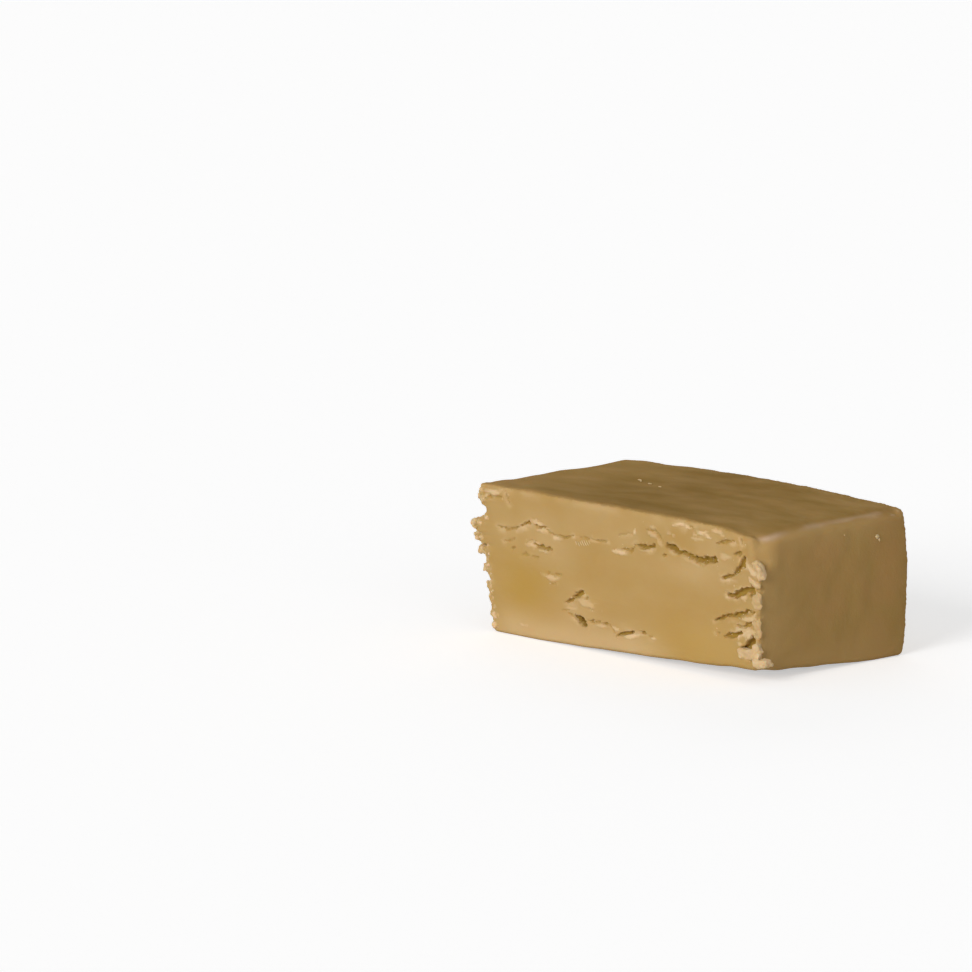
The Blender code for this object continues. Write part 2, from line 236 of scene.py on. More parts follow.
# Tears in the front face: the middle line as places along X and Z, the full width and the depth.
frontTears = (
    (((-33.1, 21.6), (-32.0, 21.2), (-30.1, 21.1), (-28.2, 21.4), (-26.4, 22.2)), 0.38, 0.5),
    (((-26.5, 22.1), (-24.9, 22.7), (-23.5, 23.2)), 0.6, 0.8),
    (((-22.2, 22.9), (-20.8, 22.7), (-18.7, 22.6)), 0.45, 0.7),
    (((-18.7, 22.4), (-17.9, 21.9), (-16.2, 21.6)), 0.35, 0.5),
    (((-16.2, 21.6), (-14.3, 21.6), (-12.7, 21.6), (-11.1, 22.2)), 0.45, 0.6),
    (((-31.6, 18.7), (-30.0, 19.0), (-28.4, 19.4)), 0.35, 0.4),
    (((-25.3, 19.2), (-23.3, 19.8), (-21.8, 19.7)), 0.3, 0.35),
    (((-22.4, 19.1), (-20.9, 18.8), (-19.3, 18.7), (-17.3, 18.6)), 0.62, 0.9),
    (((-29.4, 17.2), (-28.8, 17.4)), 0.55, 0.5),
    (((-27.1, 16.6), (-24.1, 16.9)), 0.28, 0.35),
    (((-23.2, 16.5), (-21.3, 16.6)), 0.38, 0.45),
    (((-30.3, 28.5), (-30.1, 27.6), (-29.4, 26.2)), 0.35, 0.4),
    (((-36.1, 26.6), (-33.4, 27.2), (-30.8, 27.3)), 0.35, 0.45),
    (((-8.8, 22.3), (-5.6, 22.3)), 0.32, 0.4),
    (((-5.6, 22.3), (-3.8, 22.2), (-1.3, 22.4)), 0.4, 0.5),
    (((1.5, 24.4), (5.0, 24.8)), 0.28, 0.3),
    (((2.9, 21.5), (5.0, 21.4), (6.3, 22.4)), 0.42, 0.6),
    (((6.5, 22.9), (7.9, 22.7), (9.4, 22.6), (11.1, 23.3)), 0.85, 1.1),
    (((9.2, 26.5), (11.9, 25.7), (13.5, 24.8)), 0.34, 0.5),
    (((14.8, 23.8), (16.5, 23.5), (18.0, 23.0)), 1.15, 1.5),
    (((17.6, 23.2), (19.0, 23.0), (20.5, 22.7), (22.0, 22.4)), 0.85, 1.3),
    (((21.4, 22.5), (22.8, 22.2), (24.9, 22.3), (27.6, 22.9)), 1.4, 1.5),
    (((13.8, 21.8), (14.3, 21.8)), 0.6, 0.8),
    (((24.1, 27.9), (26.7, 27.8)), 0.32, 0.4),
    (((20.4, 28.3), (21.3, 27.9)), 0.45, 0.5),
    (((28.0, 26.3), (30.2, 26.9), (32.1, 27.5)), 0.62, 0.7),
    (((32.1, 25.1), (33.9, 25.9)), 0.65, 0.8),
    (((28.8, 19.5), (30.3, 20.2), (31.7, 20.9)), 0.62, 1.0),
    (((32.1, 21.4), (33.5, 23.2), (34.3, 24.2), (35.1, 24.9)), 0.95, 1.1),
    (((30.6, 16.8), (31.8, 16.9), (33.4, 17.9), (34.9, 18.8), (36.3, 19.0)), 1.0, 1.3),
    (((35.7, 17.9), (36.4, 18.9), (36.7, 20.4)), 0.75, 1.0),
    (((27.6, 11.2), (29.2, 11.8), (30.4, 12.7), (31.9, 12.9)), 0.68, 1.0),
    (((31.4, 12.7), (33.4, 13.4), (35.5, 14.5), (36.5, 14.7)), 0.78, 1.1),
    (((33.0, 11.1), (34.4, 11.3), (35.4, 11.8), (36.8, 12.5)), 0.58, 0.8),
    (((30.0, 8.3), (31.4, 8.8), (32.6, 9.5), (33.8, 10.1)), 0.88, 1.1),
    (((28.1, 8.7), (28.5, 8.7)), 0.45, 0.5),
    (((34.2, 6.4), (35.6, 7.3), (36.4, 8.1), (36.6, 9.4)), 1.7, 1.5),
    (((34.3, 28.6), (34.6, 27.6)), 0.55, 0.6),
    (((36.6, 2.8), (38.1, 3.5), (39.1, 4.0)), 0.4, 0.8),
    (((-19.8, 13.8), (-17.0, 13.8), (-14.3, 13.9)), 0.3, 0.35),
    (((-17.6, 11.9), (-15.8, 11.9)), 0.38, 0.4),
    (((-12.9, 8.9), (-11.3, 9.6), (-10.3, 10.3)), 0.5, 0.8),
    (((-10.7, 10.3), (-9.5, 10.9), (-8.5, 11.3)), 1.05, 1.2),
    (((-7.3, 10.4), (-6.9, 10.3)), 0.5, 0.5),
    (((-14.3, 7.0), (-11.9, 7.2)), 0.3, 0.35),
    (((-12.5, 6.5), (-10.3, 6.3)), 0.32, 0.4),
    (((-6.5, 8.3), (-6.0, 8.3)), 0.45, 0.5),
    (((-10.2, 6.2), (-8.7, 5.7), (-7.5, 4.9)), 1.35, 1.9),
    (((-6.5, 5.9), (-5.3, 5.8), (-3.5, 6.0)), 0.55, 0.8),
    (((-2.7, 5.8), (-0.8, 5.9)), 0.55, 0.7),
    (((-1.2, 5.9), (0.2, 4.8), (1.2, 3.8)), 0.28, 0.4),
    (((1.0, 3.5), (2.8, 4.2), (4.3, 4.8), (5.3, 5.1)), 0.68, 1.0),
    (((7.6, 5.7), (8.9, 5.2)), 0.62, 0.8),
    (((9.9, 4.6), (11.2, 4.8)), 0.35, 0.4),
)

# Tears in the back face, in the same form.
backTears = (
    (((-37.4, 22.8), (-34.0, 21.6), (-29.5, 20.3)), 0.85, 1.4),
    (((-29.0, 20.6), (-27.6, 21.6), (-26.6, 22.6)), 0.3, 0.4),
    (((-37.2, 16.1), (-34.2, 15.2), (-31.8, 14.8)), 0.75, 1.3),
    (((-37.4, 9.3), (-33.0, 8.9), (-30.4, 8.0)), 0.7, 1.2),
    (((-35.0, 12.4), (-32.2, 12.0)), 0.4, 0.6),
    (((-36.6, 5.6), (-33.4, 5.9)), 0.5, 0.8),
    (((-26.0, 23.3), (-21.6, 22.6), (-17.6, 23.3)), 0.8, 1.4),
    (((-17.0, 23.9), (-14.2, 24.5)), 0.45, 0.6),
    (((-11.4, 23.1), (-7.2, 22.3), (-3.0, 22.2)), 0.45, 0.7),
    (((-3.0, 22.2), (-0.8, 21.9), (1.2, 22.6)), 0.28, 0.35),
    (((1.2, 22.6), (4.6, 22.3), (8.8, 23.4)), 0.5, 0.8),
    (((8.8, 23.4), (10.8, 22.6), (12.6, 21.2)), 0.28, 0.35),
    (((12.6, 20.9), (16.4, 20.8), (19.8, 21.8)), 0.6, 0.9),
    (((23.4, 17.5), (26.4, 16.4), (29.2, 16.1)), 0.34, 0.45),
    (((26.0, 24.9), (31.8, 25.5)), 0.34, 0.4),
    (((17.2, 8.6), (20.0, 7.0), (23.2, 6.1)), 0.85, 1.4),
    (((12.8, 6.9), (15.0, 8.0), (17.0, 8.6)), 0.3, 0.4),
    (((3.8, 5.3), (8.0, 5.5), (12.8, 6.9)), 0.55, 0.9),
    (((-1.6, 6.4), (1.8, 6.0)), 0.45, 0.6),
    (((-12.8, 12.5), (-7.2, 11.6)), 0.32, 0.4),
    (((-21.0, 6.2), (-18.2, 5.6)), 0.6, 0.9),
    (((-24.6, 17.3), (-19.0, 17.9)), 0.3, 0.4),
)

# Flakes lifted from the cut faces: middle along X and Z, half sizes along and across, turn in degrees,
# rise and paleness.
frontFlakes = (
    (-33.8, 28.0, 3.3, 0.6, -1, 0.25, 0.75),
    (-35.6, 26.9, 1.3, 0.45, 14, 0.2, 0.55),
    (-21.3, 23.5, 1.8, 0.52, -10, 0.22, 0.6),
    (-20.7, 22.0, 1.2, 0.35, -5, 0.15, 0.45),
    (-23.6, 18.9, 1.5, 0.42, 8, 0.18, 0.3),
    (-19.4, 18.1, 1.9, 0.3, -3, 0.1, 0.4),
    (-15.4, 21.1, 1.7, 0.34, -2, 0.12, 0.35),
    (2.7, 20.8, 2.0, 0.48, -3, 0.2, 0.85),
    (8.8, 22.0, 1.7, 0.35, 4, 0.12, 0.35),
    (6.2, 25.3, 0.26, 0.75, -8, 0.18, 0.9),
    (10.8, 25.4, 1.7, 0.6, -20, 0.25, 0.55),
    (10.9, 26.8, 0.6, 0.35, 0, 0.18, 0.4),
    (15.3, 26.3, 0.55, 0.35, 10, 0.18, 0.4),
    (16.4, 26.0, 0.45, 0.3, 0, 0.15, 0.4),
    (13.0, 23.9, 0.9, 0.6, -30, 0.12, 0.4),
    (23.6, 27.5, 1.6, 0.42, 6, 0.18, 0.75),
    (25.6, 27.0, 1.3, 0.36, -14, 0.16, 0.8),
    (24.8, 28.0, 0.9, 0.26, 10, 0.14, 0.6),
    (22.1, 27.0, 0.7, 0.28, -8, 0.14, 0.55),
    (18.2, 28.4, 1.5, 0.4, 4, 0.14, 0.65),
    (20.2, 28.1, 1.0, 0.32, -12, 0.14, 0.6),
    (27.6, 28.4, 1.6, 0.42, -8, 0.14, 0.65),
    (29.2, 27.9, 0.8, 0.28, 6, 0.12, 0.45),
    (22.6, 26.2, 1.8, 0.4, 2, 0.1, 0.45),
    (29.8, 23.9, 1.6, 0.6, 12, 0.12, 0.45),
    (20.6, 21.6, 3.0, 0.4, -10, 0.08, 0.25),
    (36.1, 23.3, 1.0, 1.5, 20, 0.15, 0.85),
    (34.2, 17.0, 1.0, 0.5, 12, 0.16, 0.7),
    (37.2, 17.2, 0.7, 1.3, 0, 0.1, 0.75),
    (35.6, 12.95, 1.6, 0.36, 14, 0.15, 0.75),
    (35.8, 10.1, 1.9, 0.95, 12, 0.16, 0.65),
    (37.1, 14.1, 0.6, 0.8, 0, 0.12, 0.65),
    (33.7, 7.3, 0.6, 0.45, 0, 0.15, 0.55),
    (-17.4, 13.0, 2.6, 0.55, -2, 0.2, 0.6),
    (-7.4, 9.4, 2.9, 0.95, -6, 0.24, 0.42),
    (-11.6, 7.7, 1.6, 0.4, 4, 0.12, 0.3),
    (0.8, 5.1, 1.2, 0.38, -12, 0.15, 0.55),
    (4.8, 3.9, 2.0, 0.48, 12, 0.2, 0.6),
    (-3.2, 5.2, 1.6, 0.34, 0, 0.12, 0.35),
    (11.1, 4.4, 0.45, 0.28, 0, 0.16, 0.8),
    (-27.5, 2.6, 1.5, 0.26, -2, 0.08, 0.35),
)
backFlakes = (
    (-33.0, 20.3, 2.2, 0.6, -15, 0.22, 0.6),
    (-28.2, 22.4, 1.6, 0.5, 20, 0.2, 0.5),
    (-21.5, 21.7, 2.2, 0.55, -4, 0.22, 0.55),
    (-13.0, 23.1, 1.4, 0.45, 8, 0.15, 0.45),
    (-6.5, 21.3, 2.4, 0.5, -3, 0.2, 0.5),
    (5.5, 21.4, 1.8, 0.5, 6, 0.2, 0.55),
    (16.5, 19.9, 1.9, 0.5, 4, 0.2, 0.55),
    (29.0, 15.1, 1.5, 0.4, -8, 0.15, 0.45),
    (30.0, 26.7, 2.4, 0.5, 3, 0.15, 0.6),
    (20.5, 5.7, 2.2, 0.65, -22, 0.24, 0.6),
    (8.5, 4.6, 1.8, 0.45, 10, 0.2, 0.55),
    (-18.6, 7.0, 1.6, 0.55, -12, 0.2, 0.55),
    (-9.5, 13.3, 2.0, 0.45, -8, 0.15, 0.4),
    (-33.6, 13.7, 1.6, 0.5, 5, 0.2, 0.6),
    (-31.5, 6.9, 1.7, 0.5, -6, 0.2, 0.55),
    (24.5, 28.1, 2.0, 0.45, -4, 0.12, 0.6),
    (-22.0, 16.4, 2.2, 0.4, 5, 0.14, 0.35),
)

# Crumbly places: middle along X and Z, half of the size along X and Z, and strength.
frontCrumbly = (
    (37.5, 13.0, 1.5, 13.0, 0.6),
    (36.8, 5.0, 2.6, 2.8, 0.55),
    (22.5, 27.8, 5.5, 1.2, 0.6),
    (13.5, 27.0, 4.0, 1.0, 0.25),
    (30.3, 24.0, 2.6, 1.0, 0.5),
    (-37.8, 14.0, 1.4, 13.0, 0.65),
    (-35.8, 27.4, 2.6, 1.3, 0.45),
    (-24.0, 21.4, 9.0, 1.5, 0.14),
    (-24.0, 17.0, 5.0, 1.4, 0.14),
    (-9.5, 8.9, 3.0, 1.6, 0.35),
    (3.5, 5.0, 5.0, 1.2, 0.28),
)
backCrumbly = (
    (-37.4, 14.0, 1.8, 13.0, 0.65),
    (-20.0, 22.6, 6.0, 1.3, 0.25),
    (20.0, 7.2, 3.6, 1.4, 0.3),
    (8.0, 5.6, 4.0, 1.0, 0.25),
    (24.0, 27.6, 6.0, 1.0, 0.4),
)

# Paler and oily patches of the front face, in the same form.
palePatches = (
    (27.0, 5.0, 11.0, 5.5, 0.16),
    (-19.5, 19.5, 7.0, 4.0, 0.22),
    (18.5, 19.8, 7.0, 2.4, 0.22),
    (-8.5, 8.5, 5.0, 3.0, 0.18),
    (30.0, 24.5, 4.0, 3.0, 0.14),
)
oilPatches = (
    (-26.5, 9.5, 8.0, 7.0, 0.9),
    (25.0, 4.5, 14.0, 5.5, 1.0),
)

# Where the upright edges go out and in: height, how far out, half height. The back right edge is cut clean.
edgeKnobs = {
    ("front", "right"): (
        (23.0, 0.5, 1.6), (19.6, -0.4, 0.8), (16.6, 0.25, 1.3), (13.9, -0.35, 0.5), (11.6, 0.15, 0.8),
        (7.6, -0.2, 0.7), (4.4, 0.5, 1.2),
    ),
    ("front", "left"): (
        (26.9, 0.5, 1.3), (24.1, -1.3, 0.8), (21.0, 1.7, 1.4), (18.3, 1.0, 0.8), (17.1, -0.4, 0.4),
        (15.9, 0.7, 0.8), (14.1, -0.4, 0.5), (12.5, 0.3, 0.9), (10.6, -0.4, 0.6), (8.9, 0.3, 0.8),
        (6.7, -0.6, 0.8),
    ),
    ("back", "left"): (
        (27.3, 0.3, 1.3), (24.1, -0.7, 0.7), (21.4, 0.7, 1.7), (18.4, -0.4, 0.8), (15.3, 0.35, 1.5),
        (12.5, -0.5, 0.7), (9.2, 0.5, 1.9), (6.2, -0.5, 0.6), (3.6, 0.25, 1.2),
    ),
}


def roundedBox(points):
    # core = the point held at least r inside the box, and the surface = core + r * unit(point - core).
    zone, whole = slab["shoulderZone"]
    nearEnd = ramp(np.abs(points[:, 0]), halfLength - zone, halfLength - whole)
    nearTop = ramp(points[:, 2], slabHeight - zone, slabHeight - whole)
    behindFront = ramp(points[:, 1], -halfWidth, slab["shoulderFade"] - halfWidth)
    aheadOfBack = 1.0 - slab["shoulderLost"] * ramp(points[:, 1], halfWidth - slab["shoulderFade"], halfWidth)
    extra = slab["shoulderRadius"] - slab["cutEdgeRadius"]
    radius = slab["cutEdgeRadius"] + extra * nearEnd * nearTop * behindFront * aheadOfBack
    low = np.stack([radius - halfLength, radius - halfWidth, radius], axis=1)
    high = np.stack([halfLength - radius, halfWidth - radius, slabHeight - radius], axis=1)
    core = np.clip(points, low, high)
    outward = points - core
    outward /= np.linalg.norm(outward, axis=1)[:, None]
    return core + radius[:, None] * outward, outward


def nearestOnLine(places, line):
    # For each place: its distance to the bent line, how far above the line it is, and how far along, from 0 to 1.
    nearest = np.full(len(places), np.inf)
    above, along = np.zeros((2, len(places)))
    for number in range(len(line) - 1):
        run = line[number + 1] - line[number]
        fromStart = places - line[number]
        share = np.clip(fromStart @ run / (run @ run), 0.0, 1.0)
        gap = fromStart - share[:, None] * run
        away = np.linalg.norm(gap, axis=1)
        closer = away < nearest
        nearest = np.where(closer, away, nearest)
        above = np.where(closer, gap[:, 1], above)
        along = np.where(closer, (number + share) / (len(line) - 1), along)
    return nearest, above, along


def tearField(places, tears, roughWidth):
    # half = a share of the width, tapering at both ends, and depth = deepest * (1 - ramp(distance to the line)),
    # steep above the line and slow below it. The lip over the tear droops across it.
    form = tearForm
    depth, ragged, lip, under, droop = np.zeros((5, len(places)))
    for line, width, deepest in tears:
        line = np.array(line)
        low, high = line.min(axis=0) - form["search"], line.max(axis=0) + form["search"]
        near = np.flatnonzero(((places > low) & (places < high)).all(axis=1))
        nearest, above, along = nearestOnLine(places[near], line)
        taper = 0.5 + 0.5 * np.sin(np.pi * np.clip(along, *form["taper"]))
        half = form["halfShare"] * width * taper * roughWidth[near]
        strength = min(1.0, deepest)
        outer, slope, lipShare = (np.where(above > 0.0, *form[name]) for name in ("reach", "slope", "lipShare"))
        outer, slope = outer * half, slope * half
        hollow = form["depth"] * deepest * (1.0 - ramp(nearest, outer - slope, outer))
        around = (1.0 - ramp(nearest, *(half + edge for edge in form["around"]))) * strength
        inner = ramp(nearest, *(edge * half for edge in form["lipStart"]))
        raised = inner * (1.0 - ramp(nearest, *(half + edge for edge in form["lipEnd"]))) * strength
        over = ramp(above, 0.0, form["droopStart"] * half)
        over = over * (1.0 - ramp(nearest, half, half + form["droopEnd"])) * min(1.0, width)
        depth[near] = np.maximum(depth[near], hollow)
        ragged[near] = np.maximum(ragged[near], around)
        lip[near] = np.maximum(lip[near], raised * lipShare)
        under[near] = np.maximum(under[near], raised * (above < 0.0))
        droop[near] = np.maximum(droop[near], over * strength)
    return depth, ragged, lip, under, droop


def flakeField(points, flakes, seed):
    # r = distance from the flake's middle over its half sizes, wavering a little, and shape = 1 - ramp(r).
    waver = noiseSum(points, cutForm["flakeWaver"], seed, start=1.0)
    rise, paleness = np.zeros((2, len(points)))
    for alongX, alongZ, halfLong, halfWide, turn, amount, pale in flakes:
        fromX, fromZ = points[:, 0] - alongX, points[:, 2] - alongZ
        near = np.flatnonzero(np.hypot(fromX, fromZ) < cutForm["flakeSearch"] * max(halfLong, halfWide))
        fromX, fromZ = fromX[near], fromZ[near]
        cosine, sine = math.cos(math.radians(turn)), math.sin(math.radians(turn))
        away = np.hypot((fromX * cosine + fromZ * sine) / halfLong, (fromZ * cosine - fromX * sine) / halfWide)
        shape = 1.0 - ramp(away * waver[near], *cutForm["flakeEdge"])
        rise[near] = np.maximum(rise[near], amount * shape)
        paleness[near] = np.maximum(paleness[near], pale * shape)
    return rise, paleness


def patchShares(points, patches):
    # strength * bell(x) * bell(z) of each patch in turn.
    for alongX, alongZ, reachX, reachZ, strength in patches:
        yield strength * bell(points[:, 0] - alongX, reachX) * bell(points[:, 2] - alongZ, reachZ)


def cutFace(points, tears, flakes, crumbly, seed):
    # height = slow waves + drag marks - depth + lip + flakes + ragged * noise stretched along X.
    form = cutForm
    height = noiseSum(points, form["waves"], seed)
    for number, (amount, longWay, shortWay) in enumerate(form["dragMarks"]):
        height += amount * waves(points * (shortWay / longWay, 1.0, 1.0), shortWay, seed + 5 + 300 * number)
    places = points[:, (0, 2)].copy()
    for number, (amount, size) in enumerate(form["jag"]):
        for axis in range(2):
            places[:, axis] += amount * waves(points, size, seed + 6 + axis + 400 * number)
    roughWidth = noiseSum(points, (form["roughWidth"],), seed + 500, start=1.0)
    depth, ragged, lip, under, droop = tearField(places, tears, roughWidth)
    rise, paleness = flakeField(points, flakes, seed + 800)
    size, low, high = form["loose"]
    loose = np.max(list(patchShares(points, crumbly)), axis=0) * patchy(points, size, seed + 600, low, high)
    ragged = np.maximum(form["raggedByTears"] * ragged, loose)
    stretched = points * form["raggedStretch"]
    relief = noiseSum(stretched, form["raggedRelief"], seed + 8, step=50)
    size, low, high = form["patches"]
    patches = patchy(stretched, size, seed + 700, low, high)
    least, start, end = form["shallowEnds"]
    deepShare = least + (1.0 - least) * ramp(halfLength - np.abs(points[:, 0]), start, end)
    height += form["lipHeight"] * lip - depth * deepShare + rise + ragged * relief
    # Under-lips turn pale, partly drier crumb and partly painted light; ragged places turn pale as drier crumb.
    paleness += form["dryAndLitUnderLip"] * under * patches + form["paleRagged"] * ragged * patches
    masks = {
        # Painted shade inside the tears, growing with their depth.
        "tear": np.clip(depth / form["fullTear"], 0.0, 1.0),
        # Painted shade in the deepest parts of the tears.
        "deep": ramp(depth, *form["deep"]),
        "pale": np.clip(paleness, 0.0, 1.0) * (1.0 - ramp(depth, *form["notPale"])),
        "ragged": np.clip(ragged + form["raggedLip"] * lip, 0.0, 1.0),
    }
    return height, form["droop"] * droop, masks


def edgePush(points):
    # push = sum of each knob's bell over the height, times how near the point is to the end and to the cut face,
    # and the worn front right corner is pushed inwards.
    form = slab["knobs"]
    push = np.zeros((len(points), 2))
    nearBase = ramp(points[:, 2], 0.0, form["start"])
    least, more, size = form["lumpy"]
    lumpy = least + more * grains(points, size, 71)
    wander = noiseSum(points, (form["wander"],), 72, start=points[:, 2])
    for (cut, end), knobs in edgeKnobs.items():
        side = np.array([1.0 if end == "right" else -1.0, 1.0 if cut == "back" else -1.0])
        fromEnd = halfLength - side[0] * points[:, 0]
        fromCut = halfWidth - side[1] * points[:, 1]
        near = bell(fromEnd, form["reach"]) * (1.0 - ramp(fromCut, *form["depth"])) * nearBase * lumpy
        standOut = sum(amount * plateau(wander - height, size) for height, amount, size in knobs)
        push += (near * standOut)[:, None] * side * form["way"]
    rounded, (reachX, reachY) = slab["roundedCorner"], slab["roundedCorner"]["reach"]
    near = bell(halfLength - points[:, 0], reachX) * bell(halfWidth + points[:, 1], reachY)
    push -= (rounded["amount"] * near * ramp(points[:, 2], *rounded["heights"]))[:, None] * rounded["way"]
    return push


def topHeight(points):
    # The four corner heights blended across the slice, plus the crown behind, minus the dip at the front right.
    right = points[:, 0] / slab["size"][0] + 0.5
    back = points[:, 1] / slab["size"][1] + 0.5
    corners, crown, (dip, dipReach) = slab["cornerHeights"], slab["topCrown"], slab["cornerDip"]
    frontEdge = corners["frontLeft"] * (1.0 - right) + corners["frontRight"] * right
    backEdge = corners["backLeft"] * (1.0 - right) + corners["backRight"] * right
    swell = bell(points[:, 0] - crown["place"][0], crown["reach"][0])
    swell *= bell(points[:, 1] - crown["place"][1], crown["reach"][1])
    fromCorner = np.hypot(halfLength - points[:, 0], halfWidth + points[:, 1])
    return frontEdge * (1.0 - back) + backEdge * back + crown["height"] * swell - dip * bell(fromCorner, dipReach)


def baseLift(points):
    # lift * (1 - how far away the front right edge is) ^ power, a little uneven, fading out up the side.
    curl = slab["baseCurl"]
    away = (halfLength - points[:, 0]) / curl["reach"][0]
    away += (halfWidth + points[:, 1]) / curl["reach"][1]
    uneven = 1.0 + curl["uneven"] * waves(points, curl["size"], 84)
    lift = curl["lift"] * np.clip(1.0 - away, 0.0, 1.0) ** curl["power"] * uneven
    return lift * (1.0 - ramp(points[:, 2], 0.0, curl["rounding"]))


def unevenForm(points):
    # x += the lean at the left foot + the bulge of the right end, which is sin(pi * level) ^ power,
    # y += a share of the bulge, and z is scaled to the top's height.
    bent = points.copy()
    (lean, leanReach), bulgeForm = slab["leftLean"], slab["endBulge"]
    level = np.clip(points[:, 2] / slabHeight, 0.0, 1.0)
    atEnd = ramp(points[:, 0], halfLength - bulgeForm["reach"], halfLength)
    bulge = bulgeForm["amount"] * np.sin(np.pi * level) ** bulgeForm["power"] * atEnd
    bent[:, 0] += lean * (1.0 - level) * ramp(-points[:, 0], halfLength - leanReach, halfLength) + bulge
    bent[:, 1] += bulge * ramp(points[:, 1], 0.0, halfWidth)
    bent[:, 2] = bent[:, 2] * topHeight(points) / slabHeight + baseLift(points)
    return bent


# Where the colours change: bells are (middle, reach), fades are (from, to), noise is (size, seed, from, to).
marks = {
    "skinWander": (0.22, 0.8, 81),
    "skinEdge": (0.3, 0.7),
    "wrapWander": (0.5, 1.3, 83),
    # Painted light: a paler band along the foot of the front cut face, standing in for light bounced from the
    # floor.
    "paintedBounceBand": {"strength": 0.45, "height": (1.0, 4.2), "right": (-20.0, -4.0), "left": (-40.0, -30.0)},
    "tornBand": {"strength": 0.12, "height": (23.5, 5.0), "noise": (5.0, 88, -0.5, 0.4)},
    "topEdge": {"strength": 0.25, "height": (28.9, 1.0), "noise": (3.0, 85, -0.6, 0.4)},
    "rightEnd": (34.0, 37.0),
    # Painted light: the right end turns paler near the front cut edge and along its top and foot, less so towards
    # the back.
    "paintedLightRim": {
        "front": (-20.5, 9.0), "top": (28.0, 4.0), "base": (0.0, 5.0), "level": 0.8,
        "back": (0.0, 20.0), "lost": 0.5,
    },
    # Painted shade: upward faces take the darker top colour, less so towards the left.
    "top": {"slope": (0.45, 0.95), "left": (8.0, 38.0), "lost": 0.55},
    # Painted shade: the middle of the top and the back of the right end are darkened, where less light falls.
    "paintedShade": {"middle": (-2.0, 22.0), "back": (6.0, 20.0), "level": 0.7},
    # Pale sugar bloom and a painted sheen along the ridge of the right end: streaks at the front, specks at the
    # back, faint streaks all along.
    "bloomAndSheen": {
        "power": 5, "stretch": (1.0, 0.4, 1.0), "streak": (-15.5, 2.8), "streakNoise": (1.2, 82, -0.5, 0.5),
        "streakLevel": 0.6, "specks": (17.0, 3.6), "specksNoise": (0.8, 86, 0.0, 0.45), "specksLevel": 0.8,
        "faintNoise": (1.6, 87, -0.1, 0.6), "faintLevel": 0.35, "leftShare": 0.5,
    },
}


def bellAt(values, place):
    # A bell about the middle of the place, with its reach.
    middle, reach = place
    return bell(values - middle, reach)


def markFinish(points, outward, front, skin, masks):
    # Each mask is a product or sum of bells, fades and noise over the place, from 0 to 1.
    alongX, alongY, alongZ = points.T
    amount, size, seed = marks["wrapWander"]
    wrapped = ramp(alongX + amount * waves(points, size, seed), *slab["roundedCorner"]["skin"])
    wrapped *= ramp(alongZ, *slab["roundedCorner"]["heights"]) * (alongY < 0.0)
    amount, size, seed = marks["skinWander"]
    masks["skin"] = np.maximum(ramp(skin + amount * waves(points, size, seed), *marks["skinEdge"]), wrapped)
    for name in ("pale", "tear", "ragged"):
        masks[name] *= 1.0 - wrapped
    # Painted light from the floor along the foot of the cut face.
    low = marks["paintedBounceBand"]
    paintedBounceBand = ramp(-alongX, *low["right"]) * ramp(alongX, *low["left"])
    bands = low["strength"] * bellAt(alongZ, low["height"]) * paintedBounceBand
    for band in (marks["tornBand"], marks["topEdge"]):
        bands += band["strength"] * bellAt(alongZ, band["height"]) * patchy(points, *band["noise"])
    bands += sum(patchShares(points, palePatches))
    masks["pale"] += front * bands * (1.0 - masks["tear"])
    masks["oil"] = np.clip(sum(patchShares(points, oilPatches)), 0.0, 1.0)
    paintedLightRim, top, paintedShade, bloomAndSheen = marks["paintedLightRim"], marks["top"], marks["paintedShade"], marks["bloomAndSheen"]
    atEnd = ramp(alongX, *marks["rightEnd"])
    levelEdges = np.maximum(bellAt(alongZ, paintedLightRim["top"]), bellAt(alongZ, paintedLightRim["base"]))
    # Painted light on the right end, paler near the front edge, the top and the foot.
    masks["paintedLightRim"] = np.maximum(bellAt(alongY, paintedLightRim["front"]), paintedLightRim["level"] * levelEdges)
    masks["paintedLightRim"] *= atEnd * (1.0 - paintedLightRim["lost"] * ramp(alongY, *paintedLightRim["back"]))
    # Painted shade: the upward faces take the darker top colour.
    masks["top"] = ramp(outward[:, 2], *top["slope"]) * (1.0 - top["lost"] * ramp(-alongX, *top["left"]))
    # Painted shade on the middle of the top and on the back of the right end.
    masks["paintedShade"] = masks["top"] * bellAt(alongX, paintedShade["middle"])
    masks["paintedShade"] += paintedShade["level"] * ramp(alongY, *paintedShade["back"]) * atEnd
    # Pale bloom and painted sheen on the ridge between the top and the right end.
    ridge = np.clip(4.0 * outward[:, 0] ** 2 * np.clip(outward[:, 2], 0.0, 1.0) ** 2, 0.0, 1.0)
    streaky = patchy(points * bloomAndSheen["stretch"], *bloomAndSheen["streakNoise"])
    streak = bellAt(alongY, bloomAndSheen["streak"]) * (bloomAndSheen["streakLevel"] + (1.0 - bloomAndSheen["streakLevel"]) * streaky)
    specks = bloomAndSheen["specksLevel"] * bellAt(alongY, bloomAndSheen["specks"]) * patchy(points, *bloomAndSheen["specksNoise"])
    faint = bloomAndSheen["faintLevel"] * patchy(points * bloomAndSheen["stretch"], *bloomAndSheen["faintNoise"])
    strength = np.where(alongX > 0.0, streak + specks + faint, bloomAndSheen["leftShare"] * faint)
    masks["bloomAndSheen"] = ridge ** bloomAndSheen["power"] * strength


